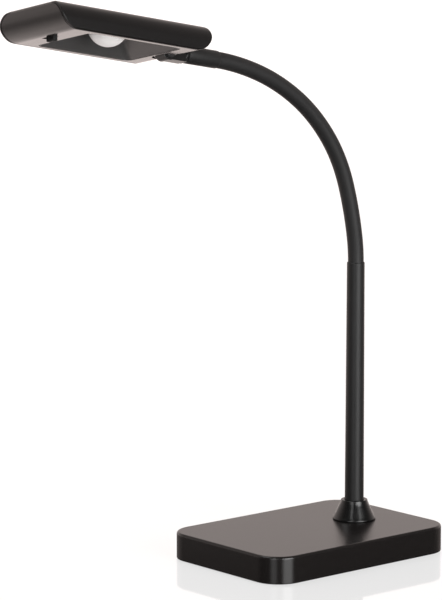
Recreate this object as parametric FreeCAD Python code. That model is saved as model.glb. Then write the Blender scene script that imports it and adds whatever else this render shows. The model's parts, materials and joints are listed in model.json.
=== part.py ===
import FreeCAD, Part

import math
import os

from FreeCAD import Vector

# LED piano lamp on a weighted base, in millimetres.
# Origin: centre of the resting plane under the rubber feet. +Z is up, and the head reaches towards -Y.
# The free neck and the head stand as they do when the lamp is set over a music rest: the neck bends
# forward through a quarter turn and the head is rolled a little about the neck's end.

# Driving dimensions of the base
BASE_WIDTH = 122.0
BASE_LENGTH = 174.0
BASE_TOP = 20.6
BASE_CORNER_RADIUS = 20.0
BASE_EDGE_RADIUS = 1.8
BASE_WALL = 2.4
BASE_ROOF = 3.0
BASE_GROUND_GAP = 0.8
PLATE_THICKNESS = 2.0
PLATE_RECESS = 0.4
PLATE_CLEARANCE = 0.3
WEIGHT_HEIGHT = 9.8
WEIGHT_MARGIN = 5.0
WEIGHT_CLEARANCE = 1.0
FOOT_RADIUS = 7.0
FOOT_SEAT_DEPTH = 1.0
FOOT_INSET_X = 19.0
FOOT_INSET_Y = 34.0
BOSS_RADIUS = 4.0
BOSS_INSET = 13.0
POST_RADIUS = 5.0
POST_INSET_X = 30.0
POST_INSET_Y = 48.0
BASE_SCREW_RADIUS = 1.45
BASE_SCREW_LENGTH = 9.0
BASE_SCREW_HEAD_RADIUS = 2.8
BASE_SCREW_HEAD_HEIGHT = 1.2
THREAD_CLEARANCE = 0.05
FIT_CLEARANCE = 0.1
EASY_CLEARANCE = 0.3
RUNNING_CLEARANCE = 0.05

# Driving dimensions of the power inlet in the base's back wall
JACK_WIDTH = 9.0
JACK_HEIGHT = 10.0
JACK_DEPTH = 13.0
JACK_AXIS_HEIGHT = 9.6
JACK_NOSE_RADIUS = 4.0
JACK_BORE_RADIUS = 2.75
JACK_BORE_DEPTH = 9.5
JACK_PIN_RADIUS = 1.05

# Driving dimensions of the stem
STEM_FROM_BACK = 42.3
STEM_TOP = 213.4
STEM_FOOT_RADIUS = 7.05
STEM_TOP_RADIUS = 6.55
STEM_TOP_CHAMFER = 0.6
TUBE_RADIUS = 5.0
TUBE_WALL = 1.4
TUBE_BOTTOM = 10.4
COLLAR_FOOT_RADIUS = 16.0
COLLAR_TOP_RADIUS = 9.9
COLLAR_HEIGHT = 14.8
COLLAR_FOOT_BEVEL = 1.2
COLLAR_RING_HEIGHT = 1.6
NUT_FLATS = 17.0
NUT_HEIGHT = 4.6
WASHER_RADIUS = 10.5
WASHER_HEIGHT = 1.2

# Driving dimensions of the gooseneck: stretches along the centre line, and how far each one bends
NECK_RADIUS = 5.85
CORE_RADIUS = 3.5
CORE_BORE_RADIUS = 1.8
LEAD_RADIUS = 1.4
CORE_TAIL_LENGTH = 42.0
CORE_FLEX_LENGTH = 6.0
NECK_STRETCHES = [18.0, 41.4, 41.4, 41.4, 41.4, 41.4]
NECK_BENDS = [8.3, 9.2, 19.8, 17.0, 14.2, 11.75]

# Driving dimensions of the joint between neck and head
FERRULE_RADIUS = 6.3
FERRULE_LENGTH = 28.6
FERRULE_CHAMFER = 0.7
END_BUSH_LENGTH = 12.0
FERRULE_CAVITY_RADIUS = 4.8
JOURNAL_LENGTH = 11.6
SPIGOT_RADIUS = 3.4
CLIP_RADIUS = 4.5
CLIP_HEIGHT = 1.0
CLIP_FROM_END = 1.2
CLIP_PLAY = 0.1
SHOULDER_RADIUS = 6.3
SHOULDER_LENGTH = 2.4
SWIVEL_GAP = 0.3
TONGUE_WIDTH = 10.0
TONGUE_HEIGHT = 12.4
BARREL_RADIUS = 6.7
PIN_DISTANCE = 46.0
PIN_RADIUS = 2.0
PIN_HEAD_RADIUS = 3.4
PIN_HEAD_HEIGHT = 1.6
PIN_TAIL = 0.3
PIN_NUT_FLATS = 6.0
PIN_NUT_HEIGHT = 2.0
FRICTION_WASHER_RADIUS = 4.8
FRICTION_WASHER_HEIGHT = 0.9
EAR_THICKNESS = 2.0
EAR_HALF_LENGTH = 4.5
BRACKET_LENGTH = 15.0
BRACKET_WIDTH = 32.0
BRACKET_THICKNESS = 1.5
BRACKET_SCREW_RADIUS = 1.2
BRACKET_SCREW_HEAD_RADIUS = 2.2
BRACKET_SCREW_HEAD_HEIGHT = 1.0
BRACKET_SCREW_OFFSET = 11.6

# Driving dimensions of the head, in its own frame: y runs from front to rear along the neck's end
HEAD_ROLL = 11.1
HEAD_REAR_REACH = 13.4
HEAD_LENGTH = 131.0
HEAD_THICKNESS = 19.0
HEAD_UNDERSIDE = -3.9
HEAD_WIDTH = 69.6
HEAD_SIDE_RADIUS = 12.4
HEAD_EDGE_RADIUS = 1.6
HEAD_TOP_RADIUS = 2.4
HEAD_BOTTOM_RADIUS = 14.0
HEAD_WALL = 1.8
CAP_THICKNESS = 1.6
CAP_LIP = 2.0
CAP_LIP_WALL = 1.4
OPENING_FROM_FRONT = 28.6
OPENING_FROM_REAR = 23.6
OPENING_FROM_SIDE = 6.8
OPENING_CORNER_RADIUS = 4.0
NOTCH_HALF_WIDTH = 10.5
NOTCH_GAP = 0.5
NOTCH_TOP = 9.4
NOTCH_CORNER_RADIUS = 7.0

# Driving dimensions of the light in the head
LENS_FROM_FRONT = 66.6
LENS_RADIUS = 14.2
LENS_SINK = 0.2
LENS_WALL = 1.4
LENS_FLANGE_RADIUS = 16.4
LENS_FLANGE_HEIGHT = 0.8
REFLECTOR_SHEET = 1.0
REFLECTOR_RIM_DEPTH = 0.3
REFLECTOR_FLANGE = 1.2
REFLECTOR_FLOOR_INSET = 12.5
REFLECTOR_FLOOR_SIDE_INSET = 8.0
REFLECTOR_FLOOR_RADIUS = 4.0
SPREADER_THICKNESS = 1.0
SPREADER_HALF_WIDTH = 17.5
SPREADER_CORNER_RADIUS = 2.0
SPREADER_FRONT_REACH = 36.0
BOARD_THICKNESS = 1.4
BOARD_HALF_WIDTH = 16.5
BOARD_CORNER_RADIUS = 1.5
BOARD_FRONT_REACH = 24.0
EMITTER_SIDE = 2.8
EMITTER_HEIGHT = 0.6
EMITTER_PITCH = 4.6
EMITTER_ROWS = 3
DRIVER_LENGTH = 13.0
DRIVER_HALF_WIDTH = 13.0
DRIVER_CHIP_HEIGHT = 1.6
HEAD_LEAD_RADIUS = 1.2

# Driving dimensions of the slide switch under the head's front edge
SWITCH_FROM_FRONT = 17.0
SWITCH_BODY_LENGTH = 16.0
SWITCH_BODY_WIDTH = 5.6
SWITCH_BODY_HEIGHT = 5.0
SWITCH_KNOB_LENGTH = 8.0
SWITCH_KNOB_WIDTH = 3.6
SWITCH_KNOB_STANDS_OUT = 3.0
SWITCH_STUB_WIDTH = 2.0
SWITCH_STUB_HEIGHT = 2.5
SWITCH_TRAVEL = 4.0
SWITCH_SLOT_GAP = 0.3
SWITCH_GROOVE_DEPTH = 0.5
SWITCH_GROOVES = 4

UP = Vector(0, 0, 1)
RIGHT = Vector(1, 0, 0)
REAR = Vector(0, 1, 0)

os.makedirs("parts", exist_ok=True)


def save(name, shape):
    """Writes one piece, or a group of like pieces, as its own file."""
    shape.exportStep("parts/" + name + ".step")


def block(x0, x1, y0, y1, z0, z1):
    return Part.makeBox(x1 - x0, y1 - y0, z1 - z0, Vector(x0, y0, z0))


def rod(radius, height, base, axis=UP):
    return Part.makeCylinder(radius, height, base, axis)


def rounded_rectangle(half_x, y0, y1, radius, z):
    """A closed wire with round corners in the plane z, centred on x = 0."""
    corners = [(half_x, y0), (half_x, y1), (-half_x, y1), (-half_x, y0)]
    points = [Vector(x, y, z) for x, y in corners]
    return rounded_wire(points, [radius] * len(points))


def rounded_wire(points, radii):
    """A closed wire through the points, each corner rounded by its own radius."""
    edges = []
    stops = []
    count = len(points)
    for i in range(count):
        corner = points[i]
        back = (points[i - 1] - corner).normalize()
        ahead = (points[(i + 1) % count] - corner).normalize()
        half = back.getAngle(ahead) / 2
        cut = radii[i] / math.tan(half)
        bisector = (back + ahead).normalize()
        centre = corner + bisector * (radii[i] / math.sin(half))
        middle = centre - bisector * radii[i]
        stops.append((corner + back * cut, middle, corner + ahead * cut))
    for i in range(count):
        start, middle, end = stops[i]
        edges.append(Part.Arc(start, middle, end).toShape())
        following = stops[(i + 1) % count][0]
        if (following - end).Length > 1e-6:
            edges.append(Part.LineSegment(end, following).toShape())
    return Part.Wire(edges)


def rounded_block(half_x, y0, y1, radius, z0, z1):
    face = Part.Face(rounded_rectangle(half_x, y0, y1, radius, z0))
    return face.extrude(Vector(0, 0, z1 - z0))


def hexagon(flats, height, base, axis=UP):
    """A hexagonal prism of the given width across flats."""
    radius = flats / math.sqrt(3)
    points = []
    for i in range(7):
        angle = math.radians(60 * i)
        points.append(Vector(radius * math.cos(angle), radius * math.sin(angle), 0))
    prism = Part.Face(Part.makePolygon(points)).extrude(Vector(0, 0, height))
    prism.Placement = FreeCAD.Placement(base, FreeCAD.Rotation(UP, axis))
    return prism


def turned(profile, centre):
    """A body of revolution about the vertical through centre, from (radius, height) pairs."""
    points = [Vector(r, 0, z) for r, z in profile]
    face = Part.Face(Part.makePolygon(points + points[:1]))
    body = face.revolve(Vector(0, 0, 0), UP, 360)
    body.translate(centre)
    return body


def corners_of(inset_x, inset_y):
    """The four places that lie the given insets in from the base's sides."""
    x = BASE_WIDTH / 2 - inset_x
    y = BASE_LENGTH / 2 - inset_y
    return [(x, y), (-x, y), (-x, -y), (x, -y)]


STEM_Y = BASE_LENGTH / 2 - STEM_FROM_BACK
FOOT_PLACES = corners_of(FOOT_INSET_X, FOOT_INSET_Y) + [(0, 0)]
STEM = Vector(0, STEM_Y, 0)
BASE_CEILING = BASE_TOP - BASE_ROOF
PLATE_BOTTOM = BASE_GROUND_GAP + PLATE_RECESS
PLATE_TOP = PLATE_BOTTOM + PLATE_THICKNESS
WEIGHT_BOTTOM = BASE_CEILING - WEIGHT_HEIGHT
WASHER_BOTTOM = BASE_CEILING - WASHER_HEIGHT
BACK_WALL_INSIDE = BASE_LENGTH / 2 - BASE_WALL
JACK_FRONT = BACK_WALL_INSIDE - JACK_DEPTH


def make_base_cover():
    half_x = BASE_WIDTH / 2
    half_y = BASE_LENGTH / 2
    outer = rounded_block(half_x, -half_y, half_y, BASE_CORNER_RADIUS, BASE_GROUND_GAP, BASE_TOP)
    rim = [e for e in outer.Edges if abs(e.CenterOfMass.z - BASE_TOP) < 0.01]
    outer = outer.makeFillet(BASE_EDGE_RADIUS, rim)
    inner = rounded_block(half_x - BASE_WALL, -half_y + BASE_WALL, half_y - BASE_WALL,
                          BASE_CORNER_RADIUS - BASE_WALL, BASE_GROUND_GAP, BASE_CEILING)
    cover = outer.cut(inner)
    for x, y in corners_of(BOSS_INSET, BOSS_INSET):
        boss = rod(BOSS_RADIUS, BASE_CEILING - PLATE_TOP, Vector(x, y, PLATE_TOP))
        cover = cover.fuse(boss)
    for x, y in corners_of(BOSS_INSET, BOSS_INSET):
        pilot = rod(BASE_SCREW_RADIUS + THREAD_CLEARANCE, BASE_SCREW_LENGTH, Vector(x, y, PLATE_TOP))
        cover = cover.cut(pilot)
    stem_hole = rod(TUBE_RADIUS + FIT_CLEARANCE, BASE_ROOF, Vector(0, STEM_Y, BASE_CEILING))
    jack_hole = rod(JACK_NOSE_RADIUS + FIT_CLEARANCE, BASE_WALL,
                    Vector(0, BACK_WALL_INSIDE, JACK_AXIS_HEIGHT), REAR)
    return cover.cut(stem_hole).cut(jack_hole)


def make_base_weight():
    half_x = BASE_WIDTH / 2 - BASE_WALL - WEIGHT_MARGIN
    half_y = BASE_LENGTH / 2 - BASE_WALL - WEIGHT_MARGIN
    corner = BASE_CORNER_RADIUS - BASE_WALL
    weight = rounded_block(half_x, -half_y, half_y, corner, WEIGHT_BOTTOM, BASE_CEILING)
    for x, y in corners_of(BOSS_INSET, BOSS_INSET):
        notch = rod(BOSS_RADIUS + WEIGHT_CLEARANCE, WEIGHT_HEIGHT, Vector(x, y, WEIGHT_BOTTOM))
        outside = block(min(x, x * 2), max(x, x * 2), min(y, y * 2), max(y, y * 2),
                        WEIGHT_BOTTOM, BASE_CEILING)
        reach = BOSS_RADIUS + WEIGHT_CLEARANCE
        across = block(x - reach, x + reach, min(y, y * 2), max(y, y * 2), WEIGHT_BOTTOM, BASE_CEILING)
        along = block(min(x, x * 2), max(x, x * 2), y - reach, y + reach, WEIGHT_BOTTOM, BASE_CEILING)
        weight = weight.cut(notch).cut(outside).cut(across).cut(along)
    nut_room = rod(WASHER_RADIUS + WEIGHT_CLEARANCE, WEIGHT_HEIGHT, Vector(0, STEM_Y, WEIGHT_BOTTOM))
    jack_room = block(-JACK_WIDTH / 2 - WEIGHT_CLEARANCE, JACK_WIDTH / 2 + WEIGHT_CLEARANCE,
                      STEM_Y, BASE_LENGTH / 2, WEIGHT_BOTTOM, BASE_CEILING)
    return weight.cut(nut_room).cut(jack_room)


def make_bottom_plate():
    half_x = BASE_WIDTH / 2 - BASE_WALL - PLATE_CLEARANCE
    half_y = BASE_LENGTH / 2 - BASE_WALL - PLATE_CLEARANCE
    corner = BASE_CORNER_RADIUS - BASE_WALL - PLATE_CLEARANCE
    plate = rounded_block(half_x, -half_y, half_y, corner, PLATE_BOTTOM, PLATE_TOP)
    for x, y in corners_of(POST_INSET_X, POST_INSET_Y):
        plate = plate.fuse(rod(POST_RADIUS, WEIGHT_BOTTOM - PLATE_TOP, Vector(x, y, PLATE_TOP)))
    for x, y in FOOT_PLACES:
        plate = plate.cut(rod(FOOT_RADIUS + FIT_CLEARANCE, FOOT_SEAT_DEPTH, Vector(x, y, PLATE_BOTTOM)))
    for x, y in corners_of(BOSS_INSET, BOSS_INSET):
        head_room = rod(BASE_SCREW_HEAD_RADIUS + EASY_CLEARANCE, BASE_SCREW_HEAD_HEIGHT,
                        Vector(x, y, PLATE_BOTTOM))
        hole = rod(BASE_SCREW_RADIUS + EASY_CLEARANCE, PLATE_THICKNESS, Vector(x, y, PLATE_BOTTOM))
        plate = plate.cut(head_room).cut(hole)
    return plate


def make_rubber_feet():
    """One near each corner, and one in the middle that keeps the plate from sagging."""
    height = PLATE_BOTTOM + FOOT_SEAT_DEPTH
    profile = [(0, 0), (FOOT_RADIUS - 0.5, 0), (FOOT_RADIUS, 0.5), (FOOT_RADIUS, height), (0, height)]
    feet = [turned(profile, Vector(x, y, 0)) for x, y in FOOT_PLACES]
    return Part.Compound(feet)


def make_base_screws():
    screws = []
    for x, y in corners_of(BOSS_INSET, BOSS_INSET):
        head = rod(BASE_SCREW_HEAD_RADIUS, BASE_SCREW_HEAD_HEIGHT, Vector(x, y, PLATE_BOTTOM))
        slot = block(x - 1.6, x + 1.6, y - 0.35, y + 0.35, PLATE_BOTTOM, PLATE_BOTTOM + 0.6)
        cross = block(x - 0.35, x + 0.35, y - 1.6, y + 1.6, PLATE_BOTTOM, PLATE_BOTTOM + 0.6)
        shank = rod(BASE_SCREW_RADIUS, BASE_SCREW_LENGTH, Vector(x, y, PLATE_BOTTOM))
        screws.append(head.cut(slot).cut(cross).fuse(shank.cut(slot).cut(cross)))
    return Part.Compound(screws)


def make_power_inlet():
    half = JACK_WIDTH / 2
    low = JACK_AXIS_HEIGHT - JACK_HEIGHT / 2
    body = block(-half, half, JACK_FRONT, BACK_WALL_INSIDE, low, low + JACK_HEIGHT)
    outer_face = BASE_LENGTH / 2 - 0.3
    nose = rod(JACK_NOSE_RADIUS, outer_face - BACK_WALL_INSIDE,
               Vector(0, BACK_WALL_INSIDE, JACK_AXIS_HEIGHT), REAR)
    inlet = body.fuse(nose)
    bore = rod(JACK_BORE_RADIUS, JACK_BORE_DEPTH,
               Vector(0, outer_face - JACK_BORE_DEPTH, JACK_AXIS_HEIGHT), REAR)
    pin = rod(JACK_PIN_RADIUS, JACK_BORE_DEPTH - 0.8,
              Vector(0, outer_face - JACK_BORE_DEPTH, JACK_AXIS_HEIGHT), REAR)
    return inlet.cut(bore).fuse(pin)


def make_stem_collar():
    bottom = BASE_TOP
    ring = bottom + COLLAR_HEIGHT - COLLAR_RING_HEIGHT
    top = bottom + COLLAR_HEIGHT
    inside = STEM_FOOT_RADIUS + FIT_CLEARANCE
    profile = [
        (inside, bottom),
        (COLLAR_FOOT_RADIUS - 0.3, bottom),
        (COLLAR_FOOT_RADIUS, bottom + 0.3),
        (COLLAR_FOOT_RADIUS, bottom + COLLAR_FOOT_BEVEL),
        (COLLAR_FOOT_RADIUS - 0.6, bottom + COLLAR_FOOT_BEVEL + 0.6),
        (COLLAR_TOP_RADIUS, ring),
        (COLLAR_TOP_RADIUS, top - 0.5),
        (COLLAR_TOP_RADIUS - 0.5, top),
        (inside, top),
    ]
    return turned(profile, STEM)


def make_stem_tube():
    height = STEM_TOP - EASY_CLEARANCE - TUBE_BOTTOM
    base = Vector(0, STEM_Y, TUBE_BOTTOM)
    return rod(TUBE_RADIUS, height, base).cut(rod(TUBE_RADIUS - TUBE_WALL, height, base))


def make_stem_sleeve():
    inside = TUBE_RADIUS + FIT_CLEARANCE
    profile = [
        (inside, BASE_TOP),
        (STEM_FOOT_RADIUS, BASE_TOP),
        (STEM_FOOT_RADIUS, BASE_TOP + COLLAR_HEIGHT),
        (STEM_TOP_RADIUS, STEM_TOP - STEM_TOP_CHAMFER),
        (STEM_TOP_RADIUS - STEM_TOP_CHAMFER, STEM_TOP),
        (inside, STEM_TOP),
    ]
    return turned(profile, STEM)


def make_stem_washer():
    base = Vector(0, STEM_Y, WASHER_BOTTOM)
    return rod(WASHER_RADIUS, WASHER_HEIGHT, base).cut(rod(TUBE_RADIUS + FIT_CLEARANCE, WASHER_HEIGHT, base))


def make_stem_nut():
    base = Vector(0, STEM_Y, WASHER_BOTTOM - NUT_HEIGHT)
    nut = hexagon(NUT_FLATS, NUT_HEIGHT, base)
    return nut.cut(rod(TUBE_RADIUS + THREAD_CLEARANCE, NUT_HEIGHT, base))


class Stretch:
    """One bent stretch of the neck: a circular arc in the plane x = 0."""

    def __init__(self, start, lean, length, bend):
        self.start = start
        self.lean = math.radians(lean)
        self.length = length
        self.bend = math.radians(bend)
        self.radius = length / self.bend
        inward = Vector(0, -math.cos(self.lean), -math.sin(self.lean))
        self.centre = start + inward * self.radius

    def point(self, s):
        turn = FreeCAD.Rotation(RIGHT, math.degrees(s / self.radius))
        return self.centre + turn.multVec(self.start - self.centre)

    def direction(self, s):
        angle = self.lean + s / self.radius
        return Vector(0, -math.sin(angle), math.cos(angle))

    def tube(self, s0, s1, radius, bore=0):
        """The tube of that radius round the centre line, from s0 to s1 along the stretch."""
        at = self.point(s0)
        along = self.direction(s0)
        face = Part.Face(Part.Wire([Part.Circle(at, along, radius).toShape()]))
        if bore:
            face = face.cut(Part.Face(Part.Wire([Part.Circle(at, along, bore).toShape()])))
        body = face.revolve(self.centre, RIGHT, math.degrees((s1 - s0) / self.radius))
        return body.Solids[0] if body.Solids else Part.Solid(body)


def make_stretches():
    stretches = []
    start = Vector(0, STEM_Y, STEM_TOP)
    lean = 0.0
    for length, bend in zip(NECK_STRETCHES, NECK_BENDS):
        stretch = Stretch(start, lean, length, bend)
        stretches.append(stretch)
        start = stretch.point(length)
        lean += bend
    return stretches


STRETCHES = make_stretches()
NECK_END = STRETCHES[-1].point(NECK_STRETCHES[-1])
HEAD_TILT = 90.0 - sum(NECK_BENDS)
CLIP_FRONT = -(FERRULE_LENGTH - JOURNAL_LENGTH) + CLIP_PLAY
CLIP_REAR = CLIP_FRONT + CLIP_HEIGHT
SPIGOT_END = CLIP_REAR + CLIP_FROM_END


def at_neck_end(shape, roll=0.0):
    """Moves a shape from the neck end's frame (y to the rear along the neck) into the lamp's frame."""
    turn = FreeCAD.Rotation(RIGHT, -HEAD_TILT).multiply(FreeCAD.Rotation(REAR, -roll))
    placed = shape.copy()
    placed.Placement = FreeCAD.Placement(NECK_END, turn).multiply(shape.Placement)
    return placed


def in_head(shape):
    return at_neck_end(shape, HEAD_ROLL)


def make_neck_sleeve(i):
    stretch = STRETCHES[i]
    return stretch.tube(0, stretch.length, NECK_RADIUS, CORE_RADIUS + EASY_CLEARANCE)


def make_neck_core(i):
    """The stiff stretch of the wound core, clear of the places where it bends."""
    stretch = STRETCHES[i]
    half_flex = CORE_FLEX_LENGTH / 2
    start = half_flex if i > 0 else 0
    end = stretch.length - half_flex if i < len(STRETCHES) - 1 else stretch.length
    core = stretch.tube(start, end, CORE_RADIUS, CORE_BORE_RADIUS)
    if i == 0:
        base = Vector(0, STEM_Y, STEM_TOP - CORE_TAIL_LENGTH)
        tail = rod(CORE_RADIUS, CORE_TAIL_LENGTH, base).cut(rod(CORE_BORE_RADIUS, CORE_TAIL_LENGTH, base))
        core = core.fuse(tail)
    if i == len(STRETCHES) - 1:
        base = Vector(0, -END_BUSH_LENGTH, 0)
        tail = rod(CORE_RADIUS, END_BUSH_LENGTH, base, REAR)
        tail = tail.cut(rod(CORE_BORE_RADIUS, END_BUSH_LENGTH, base, REAR))
        core = core.fuse(at_neck_end(tail))
    return core


def make_core_flex(i):
    """The short stretch of the core that bends where stretches i - 1 and i meet."""
    half_flex = CORE_FLEX_LENGTH / 2
    before = STRETCHES[i - 1]
    after = STRETCHES[i]
    low = before.tube(before.length - half_flex, before.length, CORE_RADIUS, CORE_BORE_RADIUS)
    return low.fuse(after.tube(0, half_flex, CORE_RADIUS, CORE_BORE_RADIUS))


def make_neck_lead(i):
    stretch = STRETCHES[i]
    lead = stretch.tube(0, stretch.length, LEAD_RADIUS)
    if i == len(STRETCHES) - 1:
        reach = -SPIGOT_END
        lead = lead.fuse(at_neck_end(rod(LEAD_RADIUS, reach, Vector(0, -reach, 0), REAR)))
    return lead


def make_base_lead():
    """From the inlet's tail along the bottom plate and up the stem."""
    height = PLATE_TOP + LEAD_RADIUS + EASY_CLEARANCE
    bend = 4.0 * LEAD_RADIUS
    start = Vector(0, JACK_FRONT, height)
    turn_start = Vector(0, STEM_Y + bend, height)
    turn_middle = Vector(0, STEM_Y + bend * (1 - math.sin(math.pi / 4)),
                         height + bend * (1 - math.cos(math.pi / 4)))
    turn_end = Vector(0, STEM_Y, height + bend)
    top = Vector(0, STEM_Y, STEM_TOP)
    path = Part.Wire([
        Part.LineSegment(start, turn_start).toShape(),
        Part.Arc(turn_start, turn_middle, turn_end).toShape(),
        Part.LineSegment(turn_end, top).toShape(),
    ])
    section = Part.Wire([Part.Circle(start, REAR, LEAD_RADIUS).toShape()])
    return path.makePipeShell([section], True, False)


def make_neck_ferrule():
    length = FERRULE_LENGTH
    chamfer = FERRULE_CHAMFER
    profile = [
        (0, 0), (FERRULE_RADIUS - chamfer, 0), (FERRULE_RADIUS, chamfer),
        (FERRULE_RADIUS, length - chamfer), (FERRULE_RADIUS - chamfer, length), (0, length),
    ]
    body = turned(profile, Vector(0, 0, 0))
    body.rotate(Vector(0, 0, 0), RIGHT, 90)
    cavity_length = length - JOURNAL_LENGTH
    cavity = rod(FERRULE_CAVITY_RADIUS, cavity_length, Vector(0, 0, 0), REAR * -1)
    journal = rod(SPIGOT_RADIUS + RUNNING_CLEARANCE, length, Vector(0, 0, 0), REAR * -1)
    return at_neck_end(body.cut(cavity).cut(journal))


def make_end_bush():
    """Fills the ferrule's rear and grips the end of the neck's core."""
    outer = rod(FERRULE_CAVITY_RADIUS - THREAD_CLEARANCE, END_BUSH_LENGTH, Vector(0, 0, 0), REAR * -1)
    bore = rod(CORE_RADIUS + THREAD_CLEARANCE, END_BUSH_LENGTH, Vector(0, 0, 0), REAR * -1)
    return at_neck_end(outer.cut(bore))


def make_knuckle():
    shoulder_rear = -FERRULE_LENGTH - SWIVEL_GAP
    spigot = rod(SPIGOT_RADIUS, SPIGOT_END - shoulder_rear, Vector(0, shoulder_rear, 0), REAR)
    groove = rod(SPIGOT_RADIUS + 1, CLIP_HEIGHT, Vector(0, CLIP_FRONT, 0), REAR)
    groove = groove.cut(rod(SPIGOT_RADIUS - 0.6, CLIP_HEIGHT, Vector(0, CLIP_FRONT, 0), REAR))
    shoulder = rod(SHOULDER_RADIUS, SHOULDER_LENGTH, Vector(0, shoulder_rear - SHOULDER_LENGTH, 0), REAR)
    shoulder_front = shoulder_rear - SHOULDER_LENGTH
    half = TONGUE_WIDTH / 2
    tongue = block(-half, half, -PIN_DISTANCE, shoulder_front, -TONGUE_HEIGHT / 2, TONGUE_HEIGHT / 2)
    barrel = rod(BARREL_RADIUS, TONGUE_WIDTH, Vector(-half, -PIN_DISTANCE, 0), RIGHT)
    body = spigot.cut(groove).fuse([shoulder, tongue, barrel])
    exit_y = lead_exit_y()
    bore_length = SPIGOT_END - exit_y
    bore = rod(CORE_BORE_RADIUS, bore_length, Vector(0, exit_y, 0), REAR)
    exit_hole = rod(CORE_BORE_RADIUS, TONGUE_HEIGHT, Vector(0, exit_y, 0))
    ball = Part.makeSphere(CORE_BORE_RADIUS, Vector(0, exit_y, 0))
    pin_hole = rod(PIN_RADIUS + RUNNING_CLEARANCE, TONGUE_WIDTH, Vector(-half, -PIN_DISTANCE, 0), RIGHT)
    return in_head(body.cut(bore).cut(ball).cut(exit_hole).cut(pin_hole))


def lead_exit_y():
    """Where the lead comes up out of the tongue, between its shoulder and its barrel."""
    shoulder_front = -FERRULE_LENGTH - SWIVEL_GAP - SHOULDER_LENGTH
    return (shoulder_front - PIN_DISTANCE + BARREL_RADIUS) / 2


def make_swivel_clip():
    inner = SPIGOT_RADIUS - 0.6 + THREAD_CLEARANCE
    base = Vector(0, CLIP_FRONT, 0)
    ring = rod(CLIP_RADIUS, CLIP_HEIGHT, base, REAR).cut(rod(inner, CLIP_HEIGHT, base, REAR))
    mouth = block(-inner * 0.7, inner * 0.7, base.y, base.y + CLIP_HEIGHT, 0, CLIP_RADIUS + 1)
    return in_head(ring.cut(mouth))


WASHER_INSIDE_X = TONGUE_WIDTH / 2 + RUNNING_CLEARANCE
EAR_INSIDE_X = WASHER_INSIDE_X + FRICTION_WASHER_HEIGHT + RUNNING_CLEARANCE
EAR_OUTSIDE_X = EAR_INSIDE_X + EAR_THICKNESS
EAR_BOTTOM = HEAD_UNDERSIDE + 0.3
PIN_CENTRE = Vector(0, -PIN_DISTANCE, 0)


def make_hinge_pin():
    tail = EAR_OUTSIDE_X + PIN_NUT_HEIGHT + PIN_TAIL
    shaft = rod(PIN_RADIUS, tail + EAR_OUTSIDE_X, PIN_CENTRE - RIGHT * tail, RIGHT)
    head = rod(PIN_HEAD_RADIUS, PIN_HEAD_HEIGHT, PIN_CENTRE + RIGHT * EAR_OUTSIDE_X, RIGHT)
    head = head.makeFillet(0.5, [e for e in head.Edges if e.CenterOfMass.x > EAR_OUTSIDE_X + 0.1
                                 and e.Length > PIN_HEAD_RADIUS * 6])
    return in_head(shaft.fuse(head))


def make_hinge_nut():
    base = PIN_CENTRE - RIGHT * (EAR_OUTSIDE_X + PIN_NUT_HEIGHT)
    nut = hexagon(PIN_NUT_FLATS, PIN_NUT_HEIGHT, base, RIGHT)
    return in_head(nut.cut(rod(PIN_RADIUS + THREAD_CLEARANCE, PIN_NUT_HEIGHT, base, RIGHT)))


def make_friction_washers():
    washers = []
    for start in (WASHER_INSIDE_X, -WASHER_INSIDE_X - FRICTION_WASHER_HEIGHT):
        base = PIN_CENTRE + RIGHT * start
        disc = rod(FRICTION_WASHER_RADIUS, FRICTION_WASHER_HEIGHT, base, RIGHT)
        hole = rod(PIN_RADIUS + RUNNING_CLEARANCE, FRICTION_WASHER_HEIGHT, base, RIGHT)
        washers.append(disc.cut(hole))
    return in_head(Part.Compound(washers))


HEAD_REAR = HEAD_REAR_REACH - PIN_DISTANCE
HEAD_FRONT = HEAD_REAR - HEAD_LENGTH
OPENING_FRONT = HEAD_FRONT + OPENING_FROM_FRONT
OPENING_REAR = HEAD_REAR - OPENING_FROM_REAR
OPENING_HALF_WIDTH = HEAD_WIDTH / 2 - OPENING_FROM_SIDE
REFLECTOR_FLOOR_HALF_WIDTH = OPENING_HALF_WIDTH - REFLECTOR_FLOOR_SIDE_INSET
LENS_CENTRE = HEAD_FRONT + LENS_FROM_FRONT
SWITCH_Y = HEAD_FRONT + SWITCH_FROM_FRONT
HEAD_TOP = HEAD_UNDERSIDE + HEAD_THICKNESS
CEILING = HEAD_TOP - HEAD_WALL
FLOOR = HEAD_UNDERSIDE + HEAD_WALL
BRACKET_SCREW_PLACES = [Vector(side * BRACKET_SCREW_OFFSET, -PIN_DISTANCE, 0) for side in (1, -1)]


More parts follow.
